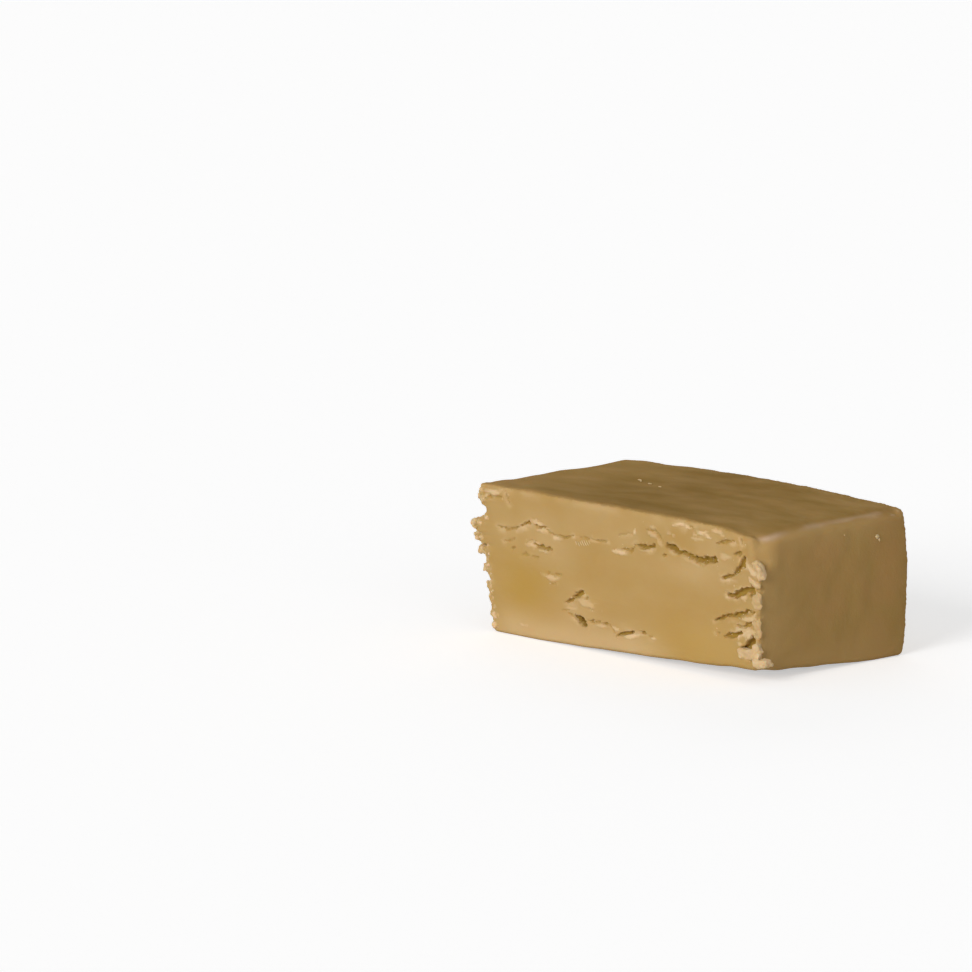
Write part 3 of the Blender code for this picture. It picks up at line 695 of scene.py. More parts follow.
def fudgeSurface(boxPoints):
    # Each point of the box's outside is rounded, and pushed out by its face's relief and by the knobs.
    # 4 * skin * cut is 1 halfway round an edge between them, and the edges are crumbled by it.
    points, outward = roundedBox(boxPoints)
    front, back = (np.clip(side * outward[:, 1], 0.0, 1.0) ** 2 for side in (-1.0, 1.0))
    skin = np.clip(1.0 - front - back, 0.0, 1.0)
    aboveBase = ramp(points[:, 2], 0.0, slab["reliefStart"])
    frontHeight, frontDroop, frontMasks = cutFace(points, frontTears, frontFlakes, frontCrumbly, 10)
    backHeight, backDroop, backMasks = cutFace(points, backTears, backFlakes, backCrumbly, 25)
    relief = front * frontHeight + back * backHeight + skin * noiseSum(points, slab["skinWaves"], 40)
    crumble, size = slab["edgeCrumble"]
    edgeCrumble = 4.0 * skin * (front + back) * crumble * (grains(points, size, 77) - 0.5)
    pushed = points + ((relief + edgeCrumble) * aboveBase)[:, None] * outward
    pushed[:, 2] -= (front * frontDroop + back * backDroop) * aboveBase
    pushed[:, :2] += edgePush(points)
    masks = {name: front * frontMasks[name] + back * backMasks[name] for name in frontMasks}
    markFinish(points, outward, front, skin, masks)
    return pushed, outward, masks


# Node helpers, and the effects that both finishes share.


def fillInputs(tree, node, values):
    # Each input gets its value, or is joined to the output that is given for it.
    for name, value in values.items():
        if isinstance(value, bpy.types.NodeSocket):
            tree.links.new(value, node.inputs[name])
        else:
            node.inputs[name].default_value = value


def addNode(tree, kind, inputs=None, **settings):
    # One node of that kind, with its settings and its inputs.
    made = tree.nodes.new(kind)
    for name, value in settings.items():
        setattr(made, name, value)
    fillInputs(tree, made, inputs or {})
    return made


def blendColour(tree, share, first, second, blend="MIX"):
    # first * (1 - share) + second * share, or the blend that is named.
    inputs = {0: share, 6: first, 7: second}
    return addNode(tree, "ShaderNodeMix", inputs, data_type="RGBA", blend_type=blend).outputs[2]


def newMaterial(name):
    # A material with its node tree and its shader.
    material = bpy.data.materials.new(name)
    material.use_nodes = True
    return material, material.node_tree, material.node_tree.nodes["Principled BSDF"]


def newGroup(name, inputs, output):
    # An empty node group with those inputs and one value as its output, and its input and output nodes.
    group = bpy.data.node_groups.new(name, "ShaderNodeTree")
    for socket, kind in inputs:
        group.interface.new_socket(name=socket, in_out="INPUT", socket_type=kind)
    group.interface.new_socket(name=output, in_out="OUTPUT", socket_type="NodeSocketFloat")
    return group, group.nodes.new("NodeGroupInput").outputs, group.nodes.new("NodeGroupOutput")


def makeBlotches():
    # Soft blotches: noise stretched by Stretch at Scale, with its middle third spread over 0 to 1.
    inputs = (("Scale", "NodeSocketFloat"), ("Stretch", "NodeSocketVector"))
    group, given, result = newGroup("softBlotches", inputs, "Share")
    place = addNode(group, "ShaderNodeTexCoord").outputs["Object"]
    stretched = addNode(group, "ShaderNodeVectorMath", {0: place, 1: given["Stretch"]}, operation="MULTIPLY")
    inputs = {"Vector": stretched.outputs[0], "Scale": given["Scale"], "Detail": 3.0}
    noise = addNode(group, "ShaderNodeTexNoise", inputs).outputs[0]
    spread = addNode(group, "ShaderNodeMapRange", {"Value": noise, "From Min": 0.33, "From Max": 0.67})
    group.links.new(spread.outputs[0], result.inputs["Share"])
    return group


def makeGrain():
    # Fine sugar grain: 2 parts of coarse noise to 1 part of noise that is 3.1 times finer.
    group, given, result = newGroup("sugarGrain", (("Scale", "NodeSocketFloat"),), "Height")
    place = addNode(group, "ShaderNodeTexCoord").outputs["Object"]
    finer = addNode(group, "ShaderNodeMath", {0: given["Scale"], 1: 3.1}, operation="MULTIPLY").outputs[0]
    coarse, fine = (
        addNode(group, "ShaderNodeTexNoise", {"Vector": place, "Scale": scale, "Detail": detail}).outputs[0]
        for scale, detail in ((given["Scale"], 2.0), (finer, 1.0))
    )
    total = addNode(group, "ShaderNodeMath", {0: coarse, 1: 2.0, 2: fine}, operation="MULTIPLY_ADD")
    group.links.new(total.outputs[0], result.inputs["Height"])
    return group


blotches = makeBlotches()
sugarGrain = makeGrain()

# A blotched colour is its two colours, the scale of the blotches and how they are stretched.
fudgeFinish = {
    "cut": ((0.488, 0.304, 0.103, 1.0), (0.510, 0.330, 0.126, 1.0), 140.0, (0.6, 1.0, 1.0)),
    "skin": ((0.415, 0.258, 0.085, 1.0), (0.455, 0.266, 0.096, 1.0), 150.0, (1.0, 1.0, 1.0)),
    # The upward faces take this colour: painted shade that darkens them, with streaky blotches.
    "top": ((0.325, 0.193, 0.057, 1.0), (0.420, 0.254, 0.091, 1.0), 170.0, (0.45, 1.0, 1.0)),
    "oil": (0.480, 0.292, 0.070, 1.0),
    # Painted light: the paler colour of the right end near its edges.
    "paintedLightRim": (0.490, 0.310, 0.118, 1.0),
    # Painted shade: the shaded places of the skin are multiplied by the colour below.
    "paintedShade": (0.860, 0.850, 0.820, 1.0),  # what the darker places of the skin are multiplied by
    # Painted shade: the darker olive colour inside the tears.
    "tear": (0.400, 0.245, 0.048, 1.0),
    # Painted shade: the deepest holes are multiplied by the colour below.
    "deep": (0.520, 0.480, 0.500, 1.0),  # what the deepest holes are multiplied by
    # Pale sugar bloom, and painted sheen on the ridge.
    "bloomAndSheen": (0.650, 0.465, 0.330, 1.0),
    # Pale places: drier crumbs, flakes and patches, and partly painted light on the under-lips of the tears, the
    # foot of the cut face and the tops of the nodules.
    "pale": (0.735, 0.530, 0.300, 1.0),
    "shader": {
        "Roughness": 0.55,
        "Specular IOR Level": 0.0,
        "Subsurface Weight": 0.4,
        "Subsurface Radius": (1.0, 0.55, 0.25),
        "Subsurface Scale": 0.0008,
    },
    "grain": {"Scale": 1100.0},
    "bump": {"Strength": 0.22, "Distance": 0.00012},
}


def fudgeMaterial(name, onCrumbs=False):
    # Colour = oily cut or skin, the skin with painted light near the edges of the right end and painted shade on
    # the upward faces and in its shaded places, then tears and deepest holes darkened with painted shade, pale
    # bloom with a painted sheen, and pale places that are partly painted light, laid over it by the piece's own
    # attributes.
    material, tree, shader = newMaterial(name)
    finish = fudgeFinish

    def mask(attribute):
        return addNode(tree, "ShaderNodeAttribute", attribute_name=attribute).outputs["Fac"]

    def blotched(part):
        first, second, scale, stretch = finish[part]
        inputs = {"Scale": scale, "Stretch": stretch}
        share = addNode(tree, "ShaderNodeGroup", inputs, node_tree=blotches).outputs[0]
        return blendColour(tree, share, first, second)

    def lay(part, colour, blend="MIX"):
        return blendColour(tree, mask(part), colour, finish[part], blend)

    colour = blotched("cut")
    if not onCrumbs:
        # Skin: painted light near the edges of the right end, painted shade on the upward faces and in the shaded
        # places.
        skin = blendColour(tree, mask("top"), lay("paintedLightRim", blotched("skin")), blotched("top"))
        colour = blendColour(tree, mask("skin"), lay("oil", colour), lay("paintedShade", skin, "MULTIPLY"))
        # Painted shade in the tears and the deepest holes, then pale bloom with painted sheen on the ridge.
        colour = lay("bloomAndSheen", lay("deep", lay("tear", colour), "MULTIPLY"))
    grain = addNode(tree, "ShaderNodeGroup", finish["grain"], node_tree=sugarGrain).outputs[0]
    bump = addNode(tree, "ShaderNodeBump", {**finish["bump"], "Height": grain}).outputs[0]
    fillInputs(tree, shader, {**finish["shader"], "Base Color": lay("pale", colour), "Normal": bump})
    return material


# Lumps that hang on along the torn edges and in the tears. They are fused with the slice.

lumpForm = {
    "seed": 20,
    "rounds": 20,
    "steps": 12,
    "lumpy": ((0.30, 0.8), (0.20, 0.38)),  # how uneven a lump is, and at what share of its size
    "edgeCount": 300,
    "edgeSize": (0.16, 0.70),
    "edgeReach": (1.4, 1.1),
    "tearCount": 110,
    "tearSize": (0.12, 0.36),
    "crustCount": 190,  # crumbs that stick to the larger lumps of the left end
    "crustSize": (0.16, 0.46),
    "crustLean": (0.9, 0.0, 0.0),
    "crustDepth": 0.92,  # the share of a lump's half size where the middles of its crumbs stand
    "flatness": (0.5, 1.0),
    "tilt": 0.7,
    "squareness": (2.2, 3.6),
    "paleness": (0.2, 0.8),
    "sunkShare": 0.45,  # of the lump's own size, inwards from the surface
    "skin": (0.75, 0.5, 1.8),  # the most skin colour, and how far behind the cut faces it starts and is whole
}

# The torn upright edges: place along X and Y, topmost height, and how thick the lumps stand there.
tornEdges = ((38.0, -20.4, 24.5, 0.20), (-38.0, -20.4, 28.3, 1.0), (-38.0, 20.4, 28.3, 1.0))

# The larger lumps: middle, half sizes, turn about Y in degrees, squareness (2 is a ball, and 9 is a block),
# and paleness.
namedLumps = (
    (-38.2, -19.3, 20.7, 3.2, 1.5, 1.25, 6, 2.8, 0.1),
    (-40.8, -19.5, 20.7, 1.2, 1.0, 0.8, 20, 2.5, 0.7),
    (-38.8, -19.6, 22.0, 1.8, 1.0, 0.6, -10, 2.8, 0.65),
    (-36.4, -19.9, 22.8, 1.3, 1.0, 0.6, 10, 2.6, 0.6),
    (-38.7, -19.4, 18.3, 2.0, 1.3, 0.9, 24, 2.7, 0.2),
    (-40.1, -19.6, 18.9, 1.0, 0.9, 0.66, 0, 2.4, 0.75),
    (-39.0, -19.5, 15.9, 1.7, 1.1, 0.85, -6, 2.4, 0.7),
    (-37.7, -19.8, 14.2, 0.7, 0.9, 0.6, 0, 2.3, 0.4),
    (-38.3, -19.7, 12.4, 1.0, 1.0, 1.0, -14, 2.6, 0.7),
    (-38.0, -19.6, 8.9, 1.2, 1.1, 0.8, 20, 2.6, 0.4),
    (-37.6, -19.9, 6.4, 0.7, 0.8, 0.8, 0, 2.3, 0.35),
    (-36.9, -20.1, 3.5, 1.4, 0.8, 0.8, 12, 2.7, 0.5),
    (-37.3, -19.9, 1.3, 1.2, 0.9, 0.65, -5, 2.7, 0.5),
    (-37.4, -19.7, 26.4, 1.2, 1.1, 0.95, 0, 2.6, 0.6),
    (-36.8, -19.8, 28.2, 1.4, 1.0, 0.65, 8, 2.6, 0.55),
    (37.7, -19.8, 23.3, 0.9, 1.1, 1.9, -22, 3.0, 0.75),
    (36.6, -20.1, 20.6, 1.5, 0.5, 0.55, 24, 2.8, 0.6),
    (37.2, -20.0, 16.9, 1.2, 0.5, 1.5, -6, 3.0, 0.45),
    (37.3, -20.0, 11.3, 1.0, 0.48, 2.0, -4, 3.0, 0.45),
    (35.9, -20.2, 4.9, 2.6, 0.75, 1.6, -9, 9.0, 0.8),
    (37.7, -20.1, 6.9, 0.9, 0.75, 1.5, -16, 5.0, 0.75),
    (39.0, -19.9, 2.5, 1.65, 1.3, 1.35, -12, 9.0, 0.85),
    (-37.0, 19.6, 26.4, 1.1, 1.0, 2.2, 8, 3.0, 0.2),
    (-37.2, 19.4, 21.4, 1.4, 1.3, 2.3, 12, 3.0, 0.1),
    (-37.0, 19.6, 15.2, 1.1, 1.0, 1.6, -8, 2.8, 0.2),
    (-37.1, 19.5, 9.0, 1.3, 1.2, 2.5, -10, 3.0, 0.1),
    (-36.9, 19.7, 3.6, 1.0, 0.9, 1.7, 8, 2.8, 0.2),
)


def turnMatrices(aboutY, aboutZ):
    # R = Rz(b) Ry(a) for whole arrays of the two angles in radians.
    a, b = aboutY, aboutZ
    nought, one = np.zeros(len(a)), np.ones(len(a))
    turnY = np.array([[np.cos(a), nought, np.sin(a)], [nought, one, nought], [-np.sin(a), nought, np.cos(a)]])
    turnZ = np.array([[np.cos(b), -np.sin(b), nought], [np.sin(b), np.cos(b), nought], [nought, nought, one]])
    return np.einsum("ijn,jkn->nik", turnZ, turnY)


def ballGrid(rounds, steps):
    # The unit sphere at angles (2 pi i / rounds, pi j / steps), with one point at each pole, and its faces.
    turn = 2.0 * np.pi * np.arange(rounds) / rounds
    rise = np.pi * np.arange(1, steps) / steps
    ways = (np.sin(rise), np.cos(turn)), (np.sin(rise), np.sin(turn)), (np.cos(rise), np.ones(rounds))
    rings = np.stack([np.outer(*way) for way in ways], axis=-1).reshape(-1, 3)
    points = np.concatenate([rings, [[0.0, 0.0, 1.0], [0.0, 0.0, -1.0]]])
    here = np.arange(rounds)
    after = np.roll(here, -1)
    top, bottom, last = len(rings), len(rings) + 1, rounds * (steps - 2)
    triangles = np.concatenate([
        np.stack([np.full(rounds, top), here, after], axis=1),
        np.stack([np.full(rounds, bottom), last + after, last + here], axis=1),
    ])
    start = rounds * np.arange(steps - 2)[:, None]
    quads = np.stack([start + here, start + here + rounds, start + after + rounds, start + after], axis=-1)
    return points, triangles, quads.reshape(-1, 4)


def lumpSurfaces(middles, halfSizes, turns, squareness, form):
    # Point = middle + R * (half sizes * direction * (blockiness + unevenness)), over the ball grid's directions.
    # The unevenness is whole on round lumps, and less on square ones.
    apart, roundPower, lowest = 40.0, 2.4, 0.05
    direction, triangles, quads = ballGrid(form["rounds"], form["steps"])
    count, each = len(middles), len(direction)
    power = np.repeat(squareness, each)
    reach = (np.abs(np.tile(direction, (count, 1))) ** power[:, None]).sum(axis=1) ** (-1.0 / power)
    ownPlaces = (direction[None] + apart * np.arange(count)[:, None, None]).reshape(-1, 3)
    for number, (amount, size) in enumerate(form["lumpy"]):
        reach += amount * waves(ownPlaces, size, 90 + number) * roundPower / power
    local = direction[None] * halfSizes[:, None] * reach.reshape(count, each, 1)
    points = middles[:, None] + np.einsum("nik,nvk->nvi", turnMatrices(turns[:, 0], turns[:, 1]), local)
    points[..., 2] = np.maximum(points[..., 2], lowest)
    first = each * np.arange(count)[:, None, None]
    faces = (first + triangles[None]).reshape(-1, 3).tolist() + (first + quads[None]).reshape(-1, 4).tolist()
    return points.reshape(-1, 3), faces


def buildLumps(named, middles, sizes, form, rng):
    # The named lumps, and one lump of each size at its middle, flattened, turned and squared by its own draws.
    count = len(sizes)
    halfSizes = np.concatenate([named[:, 3:6], sizes[:, None] * rng.uniform(*form["flatness"], (count, 3))])
    namedTurns = np.stack([np.radians(named[:, 6]), np.zeros(len(named))], axis=1)
    turns = np.concatenate([namedTurns, rng.uniform(-form["tilt"], form["tilt"], (count, 2))])
    squareness = np.concatenate([named[:, 7], rng.uniform(*form["squareness"], count)])
    paleness = np.concatenate([named[:, 8], rng.uniform(*form["paleness"], count)])
    points, faces = lumpSurfaces(np.concatenate([named[:, :3], middles]), halfSizes, turns, squareness, form)
    return points, faces, np.repeat(paleness, len(points) // len(paleness))


def spreadSizes(rng, count, smallest, largest):
    # smallest + (largest - smallest) * u ^ power for even draws u, so most are small.
    power = 2.4
    return smallest + (largest - smallest) * rng.uniform(0.0, 1.0, count) ** power


def raggedShare(masks, points, seed):
    # How likely a crumb is at each point: where the face is ragged, and in uneven clusters there.
    power, clusters = 1.5, (2.8, seed, -0.2, 0.6)
    likely = (masks["ragged"] * (1.0 - masks["skin"])) ** power * patchy(points, *clusters)
    return likely / likely.sum()


def placeLumps(points, outward, masks, rng):
    # Crumbs stuck all over the named lumps of the left end, then lumps drawn where the upright edges are torn and
    # where the cut faces are ragged.
    form = lumpForm
    named = np.array(namedLumps)
    large = named[named[:, 0] < 0.0]
    share = large[:, 3] * large[:, 5]
    carriers = large[rng.choice(len(large), form["crustCount"], p=share / share.sum())]
    away = rng.normal(0.0, 1.0, (form["crustCount"], 3)) - form["crustLean"]
    away /= np.linalg.norm(away, axis=1)[:, None]
    crust = carriers[:, :3] + form["crustDepth"] * away * carriers[:, 3:6]
    torn = np.zeros(len(points))
    reachX, reachY = form["edgeReach"]
    for alongX, alongY, topmost, share in tornEdges:
        near = bell(points[:, 0] - alongX, reachX) * bell(points[:, 1] - alongY, reachY)
        torn = np.maximum(torn, share * near * ramp(points[:, 2], 1.0, 2.0) * (points[:, 2] < topmost))
    edgeSpots = rng.choice(len(points), form["edgeCount"], p=torn**2 / (torn**2).sum())
    tearSpots = rng.choice(len(points), form["tearCount"], p=raggedShare(masks, points, 95))
    spots = np.concatenate([edgeSpots, tearSpots])
    sizes = [spreadSizes(rng, form[kind + "Count"], *form[kind + "Size"]) for kind in ("crust", "edge", "tear")]
    sunk = outward[spots] * (form["sunkShare"] * np.concatenate(sizes[1:]))[:, None]
    return named, np.concatenate([crust, points[spots] - sunk]), np.concatenate(sizes)


# Fusing the slice with its lumps.

fuse = {
    "voxel": 0.18,
    "unevenness": ((0.13, 1.3), (0.08, 0.5)),
    "grains": (0.05, 0.45),
    "triangles": 194000,
    "meltRounds": 7,
    "meltShare": 0.6,
    "hanging": {"ragged": (0.6, 0.95), "pastX": (29.5, 32.5)},  # which points belong to the lumps of the left end
    "nodules": ((0.30, 1.45), (0.08, 0.55)),
    # Paler lumps on the whole as drier crumb, and from the seams to the tops painted light on the tops and painted
    # shade in the seams.
    "nodulePaleness": (0.35, 1.1),  # on the whole, and from the seams to the tops
    "chips": {  # the lumps of the right end
        "pastX": (32.5, 34.5), "unevenness": ((0.20, 1.0), (0.13, 0.45)), "patchy": (0.45, 0.9),
    },
    "least": 0.03,  # below which a point is left as it is
}


def newMesh(name, points, faces, masks, material):
    # The mesh in metres, with its masks as point attributes.
    mesh = bpy.data.meshes.new(name)
    mesh.from_pydata((points * mm).tolist(), [], faces)
    for mask, values in masks.items():
        mesh.attributes.new(mask, "FLOAT", "POINT").data.foreach_set("value", values.astype(np.float32))
    mesh.materials.append(material)
    return mesh


def readValues(values, field, width, kind=np.float32):
    # One field of a whole collection as an array of rows.
    flat = np.zeros(width * len(values), kind)
    values.foreach_get(field, flat)
    return flat.reshape(-1, width)


def setPoints(mesh, points):
    # The places, in millimetres and never below the floor, are written back in metres.
    points[:, 2] = np.maximum(points[:, 2], 0.0)
    mesh.vertices.foreach_set("co", (points * mm).astype(np.float32).ravel())
    mesh.update()


def meltLumps(mesh, points, hanging):
    # Each round moves a point a share of the way to the mean of its neighbours, times how much it hangs there.
    edges = readValues(mesh.edges, "vertices", 2, np.int32)
    edges = edges[(hanging[edges] > 0.0).any(axis=1)]
    here, beside = np.concatenate([edges, edges[:, ::-1]]).T
    count = np.maximum(np.bincount(here, minlength=len(points)), 1)[:, None]
    for _ in range(fuse["meltRounds"]):
        total = np.stack([np.bincount(here, points[beside, axis], len(points)) for axis in range(3)], axis=1)
        points = points + fuse["meltShare"] * hanging[:, None] * (total / count - points)
    return points


def roughen(points, normals, ragged, chips):
    # height = ragged * (grains + noise at two sizes) + chips * coarser noise at two sizes, along the normals.
    rough = np.flatnonzero(ragged > fuse["least"])
    amount, size = fuse["grains"]
    height = amount * (grains(points[rough], size, 110) - 0.5)
    height = noiseSum(points[rough], fuse["unevenness"], 120, start=height) * ragged[rough]
    for number, (amount, size) in enumerate(fuse["chips"]["unevenness"]):
        height += amount * waves(points[rough], size, 140 + number) * chips[rough]
    points[rough] += height[:, None] * normals[rough]


def raiseNodules(points, normals, hanging, pale):
    # height = how much it hangs * grains at two sizes. The lumps turn paler, most on the tops of the grains and
    # least in the seams: painted light on the tops and painted shade in the seams.
    spots = np.flatnonzero(hanging > fuse["least"])
    overall, litTopsShadedSeams = fuse["nodulePaleness"]
    height = np.zeros(len(spots))
    for number, (amount, size) in enumerate(fuse["nodules"]):
        height += amount * (grains(points[spots], size, 130 + 10 * number) - 0.5)
    pale[spots] += (overall + litTopsShadedSeams * height / fuse["nodules"][0][0]) * hanging[spots]
    points[spots] += (height * hanging[spots])[:, None] * normals[spots]


def fuseAndThin(piece):
    # Voxel remesh joins what overlaps, the lumps are melted together and roughened, and Decimate thins it.
    piece.data.remesh_voxel_size = fuse["voxel"] * mm
    piece.data.use_remesh_preserve_attributes = True
    bpy.context.view_layer.objects.active = piece
    piece.select_set(True)
    bpy.ops.object.voxel_remesh()
    mesh = piece.data
    ragged, pale = (
        readValues(mesh.attributes[mask].data, "value", 1)[:, 0].astype(float) for mask in ("ragged", "pale")
    )
    points = readValues(mesh.vertices, "co", 3).astype(float) / mm
    onLumps = ramp(ragged, *fuse["hanging"]["ragged"])
    hanging = onLumps * ramp(-points[:, 0], *fuse["hanging"]["pastX"])
    chips = onLumps * ramp(points[:, 0], *fuse["chips"]["pastX"])
    patchiness, size = fuse["chips"]["patchy"]
    pale *= 1.0 + patchiness * chips * waves(points, size, 150)
    points = meltLumps(mesh, points, hanging)
    setPoints(mesh, points)
    normals = readValues(mesh.vertex_normals, "vector", 3).astype(float)
    roughen(points, normals, ragged, chips)
    raiseNodules(points, normals, hanging, pale)
    setPoints(mesh, points)
    mesh.attributes["pale"].data.foreach_set("value", np.clip(pale, 0.0, 1.0).astype(np.float32))
    print("fudge: fused into", len(mesh.vertices), "points")
    thin = piece.modifiers.new("thin", "DECIMATE")
    thin.ratio = fuse["triangles"] / (2.0 * len(mesh.polygons))
    bpy.ops.object.modifier_apply(modifier=thin.name)
    piece.data.shade_smooth()
    piece.select_set(False)


def linkPiece(name, data):
    # A new object at the origin, in the scene's own collection.
    piece = bpy.data.objects.new(name, data)
    bpy.context.scene.collection.objects.link(piece)
    return piece


def makeSlice():
    # The box's surface and the lumps are bent by the slice's uneven form, put in one mesh and fused.
    boxPoints, quads = boxLattice((
        gridLines(-halfLength, halfLength, slab["linesAlong"]),
        gridLines(-halfWidth, halfWidth, slab["linesAcross"]),
        gridLines(0.0, slabHeight, slab["linesUp"]),
    ))
    points, outward, masks = fudgeSurface(boxPoints)
    rng = np.random.default_rng(lumpForm["seed"])
    lumpPoints, lumpFaces, paleness = buildLumps(*placeLumps(points, outward, masks, rng), lumpForm, rng)
    lumpFaces = [[corner + len(points) for corner in face] for face in lumpFaces]
    joined = {name: np.concatenate([values, np.zeros(len(lumpPoints))]) for name, values in masks.items()}
    most, start, end = lumpForm["skin"]
    joined["pale"][len(points):] = paleness
    joined["ragged"][len(points):] = 1.0
    joined["skin"][len(points):] = most * ramp(halfWidth - np.abs(lumpPoints[:, 1]), start, end)
    allPoints = unevenForm(np.concatenate([points, lumpPoints])) - slab["shift"]
    mesh = newMesh("fudgeSlice", allPoints, quads.tolist() + lumpFaces, joined, fudgeMaterial("fudge"))
    piece = linkPiece("fudgeSlice", mesh)
    fuseAndThin(piece)
    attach(piece, "root")
    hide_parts("fudge_slice")
    print("fudge: the slice has", len(piece.data.polygons), "faces")
    return points, masks, rng


slicePoints, sliceMasks, seededDraws = makeSlice()


# The small loose crumbs and slivers that lie on the slice.

crumbs = {
    "rounds": 8,
    "steps": 6,
    "lumpy": ((0.28, 0.9), (0.12, 0.45)),
    "count": 200,
    "size": (0.07, 0.22),
    "flatness": (0.5, 1.0),
    "tilt": 1.6,
    "squareness": (2.2, 3.6),
    "sliverSquareness": 2.2,
    "paleness": (0.45, 1.0),
}

# The slivers and specks that are plain to see: middle, half sizes, turn about Y in degrees, paleness.
slivers = (
    (-10.1, -20.5, 20.9, 0.1, 0.1, 0.42, -30, 0.8),
    (-9.4, -20.5, 20.8, 0.1, 0.1, 0.5, -32, 0.8),
    (-8.8, -20.5, 21.0, 0.1, 0.1, 0.58, -35, 0.9),
    (-8.2, -20.5, 21.1, 0.1, 0.1, 0.62, -35, 1.0),
    (-7.6, -20.5, 21.2, 0.11, 0.1, 0.62, -38, 1.0),
    (-7.0, -20.5, 21.3, 0.1, 0.1, 0.55, -38, 0.95),
    (-6.4, -20.5, 21.5, 0.1, 0.1, 0.42, -42, 0.85),
    (5.0, -20.5, 12.3, 0.22, 0.12, 0.2, 0, 0.7),
    (4.4, -20.5, 13.2, 0.1, 0.08, 0.14, 0, 0.45),
    (0.9, -20.5, 21.1, 0.26, 0.14, 0.14, 0, 1.0),
    (4.4, -20.5, 20.9, 0.2, 0.14, 0.12, 10, 0.9),
    (-16.7, 3.4, 29.5, 0.5, 0.24, 0.12, 0, 0.85),
    (-15.6, 2.6, 29.5, 0.22, 0.16, 0.1, 0, 0.7),
    (-12.2, 1.7, 29.5, 0.6, 0.2, 0.1, 0, 0.6),
    (-8.5, 0.8, 29.5, 0.42, 0.16, 0.1, 0, 0.7),
    (-6.9, 5.6, 29.5, 0.34, 0.16, 0.1, 0, 0.4),
    (38.1, 11.9, 24.6, 0.14, 0.5, 0.4, 0, 0.8),
    (38.1, 12.4, 23.9, 0.1, 0.26, 0.34, 0, 0.7),
    (38.2, 3.0, 26.1, 0.1, 0.16, 0.2, 0, 0.5),
)


def makeCrumbs(points, masks, rng):
    # The slivers, and crumbs that are drawn where the cut faces are ragged.
    named = np.insert(np.array(slivers), 7, crumbs["sliverSquareness"], axis=1)
    spots = rng.choice(len(points), crumbs["count"], p=raggedShare(masks, points, 96))
    sizes = spreadSizes(rng, crumbs["count"], *crumbs["size"])
    crumbPoints, faces, pale = buildLumps(named, points[spots], sizes, crumbs, rng)
    crumbPoints = unevenForm(crumbPoints) - slab["shift"]
    material = fudgeMaterial("fudgeCrumb", onCrumbs=True)
    piece = linkPiece("fudgeCrumbs", newMesh("fudgeCrumbs", crumbPoints, faces, {"pale": pale}, material))
    piece.data.shade_smooth()
    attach(piece, "root")
    print("fudge:", len(named) + len(sizes), "loose crumbs and slivers")


makeCrumbs(slicePoints, sliceMasks, seededDraws)


# Floor, light and camera.

studio = {
    "floorSize": 14.0,
    "floor": {
        "Base Color": (0.80, 0.80, 0.80, 1.0), "Roughness": 1.0, "Specular IOR Level": 0.0,
        "Emission Color": (1.0, 1.0, 1.0, 1.0),
    },
    "floorGlow": 0.50,
    "background": {"Color": (0.96, 0.96, 0.96, 1.0), "Strength": 1.0},
    "skyLight": {"Color": (1.0, 1.0, 1.0, 1.0), "Strength": 0.30},
    "suns": {
        "keySun": {"azimuth": 10.0, "elevation": 21.0, "strength": 1.90, "angle": 28.0},
        "fillSun": {"azimuth": 70.0, "elevation": 12.0, "strength": 0.42, "angle": 40.0},
        "backSun": {"azimuth": 230.0, "elevation": 8.0, "strength": 0.80, "angle": 50.0},
    },
    "camera": {
        "place": (0.6890, -0.7008, 0.1917), "lens": 189.35, "sensor": 36.0, "azimuth": 46.82, "elevation": 9.3,
    },
}


def seenFrom(values):
    # The rotation that makes an object's -Z look back from its azimuth, turned from -Y towards +X, and elevation.
    turn, rise = math.radians(values["azimuth"]), math.radians(values["elevation"])
    direction = (math.sin(turn) * math.cos(rise), -math.cos(turn) * math.cos(rise), math.sin(rise))
    return Vector(direction).to_track_quat("Z", "Y").to_euler()


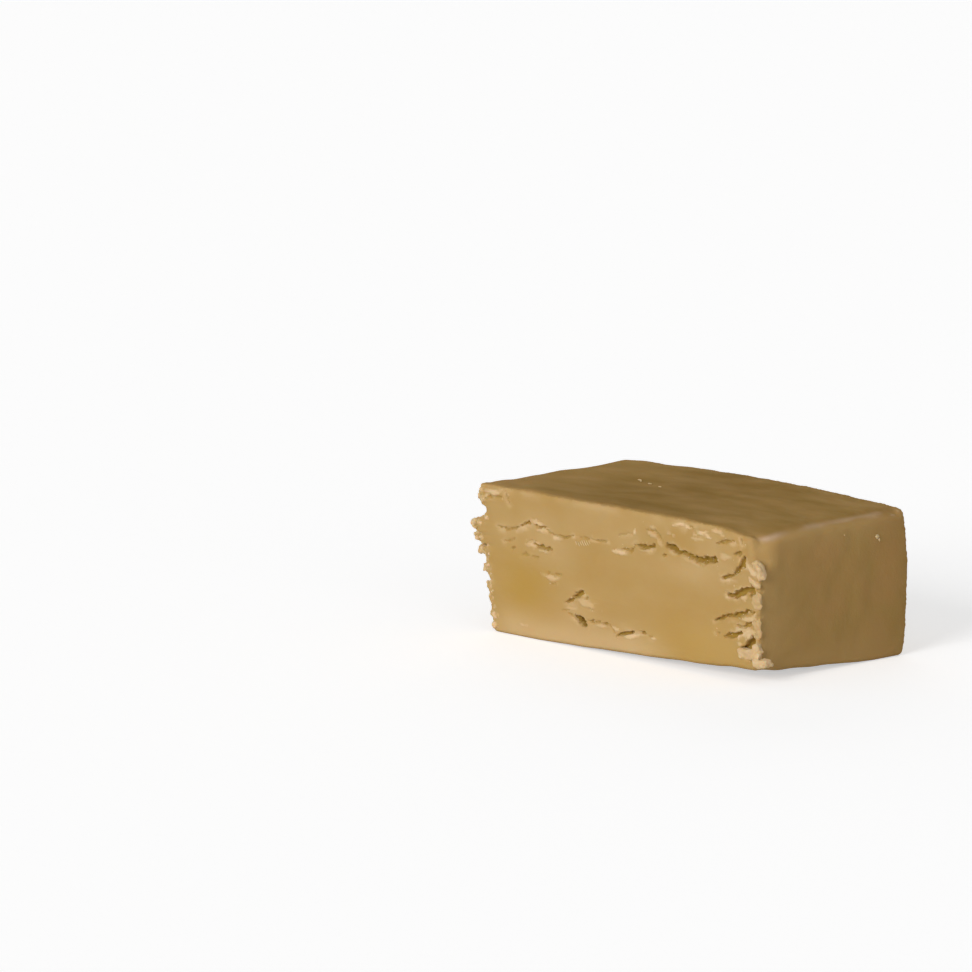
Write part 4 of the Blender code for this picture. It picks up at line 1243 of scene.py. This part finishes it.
def makeSun(name, values):
    # A sun that shines from its azimuth and elevation, with an angle wide enough for soft shadows.
    lamp = bpy.data.lights.new(name, "SUN")
    lamp.energy = values["strength"]
    lamp.angle = math.radians(values["angle"])
    linkPiece(name, lamp).rotation_euler = seenFrom(values)


def makeFloor():
    # A large square plane, half its size each way from the origin, that glows a little towards the camera.
    half = studio["floorSize"] / 2
    corners = [(-half, -half, 0.0), (half, -half, 0.0), (half, half, 0.0), (-half, half, 0.0)]
    material, tree, shader = newMaterial("paleFloor")
    seen = addNode(tree, "ShaderNodeLightPath").outputs["Is Camera Ray"]
    glow = addNode(tree, "ShaderNodeMath", {0: seen, 1: studio["floorGlow"]}, operation="MULTIPLY").outputs[0]
    fillInputs(tree, shader, {**studio["floor"], "Emission Strength": glow})
    mesh = bpy.data.meshes.new("paleFloor")
    mesh.from_pydata(corners, [], [(0, 1, 2, 3)])
    mesh.materials.append(material)
    linkPiece("paleFloor", mesh)


def makeWorld():
    # The camera sees the pale background, and the slice is lit by the weaker sky light.
    world = bpy.data.worlds.new("studio")
    world.use_nodes = True
    tree = world.node_tree
    tree.nodes.clear()
    light, seen = (
        addNode(tree, "ShaderNodeBackground", studio[part]).outputs[0] for part in ("skyLight", "background")
    )
    ray = addNode(tree, "ShaderNodeLightPath").outputs["Is Camera Ray"]
    both = addNode(tree, "ShaderNodeMixShader", {0: ray, 1: light, 2: seen}).outputs[0]
    addNode(tree, "ShaderNodeOutputWorld", {"Surface": both})
    bpy.context.scene.world = world


def makeCamera(values):
    # The camera stands where the photograph was taken from and looks back along its azimuth and elevation.
    lens = bpy.data.cameras.new("camera")
    lens.lens = values["lens"]
    lens.sensor_width = values["sensor"]
    camera = linkPiece("camera", lens)
    camera.location = values["place"]
    camera.rotation_euler = seenFrom(values)
    bpy.context.scene.camera = camera


makeFloor()
makeWorld()
for sunName, sunValues in studio["suns"].items():
    makeSun(sunName, sunValues)
makeCamera(studio["camera"])
bpy.context.scene.view_settings.view_transform = "Standard"
print("fudge: floor, light and camera are set")
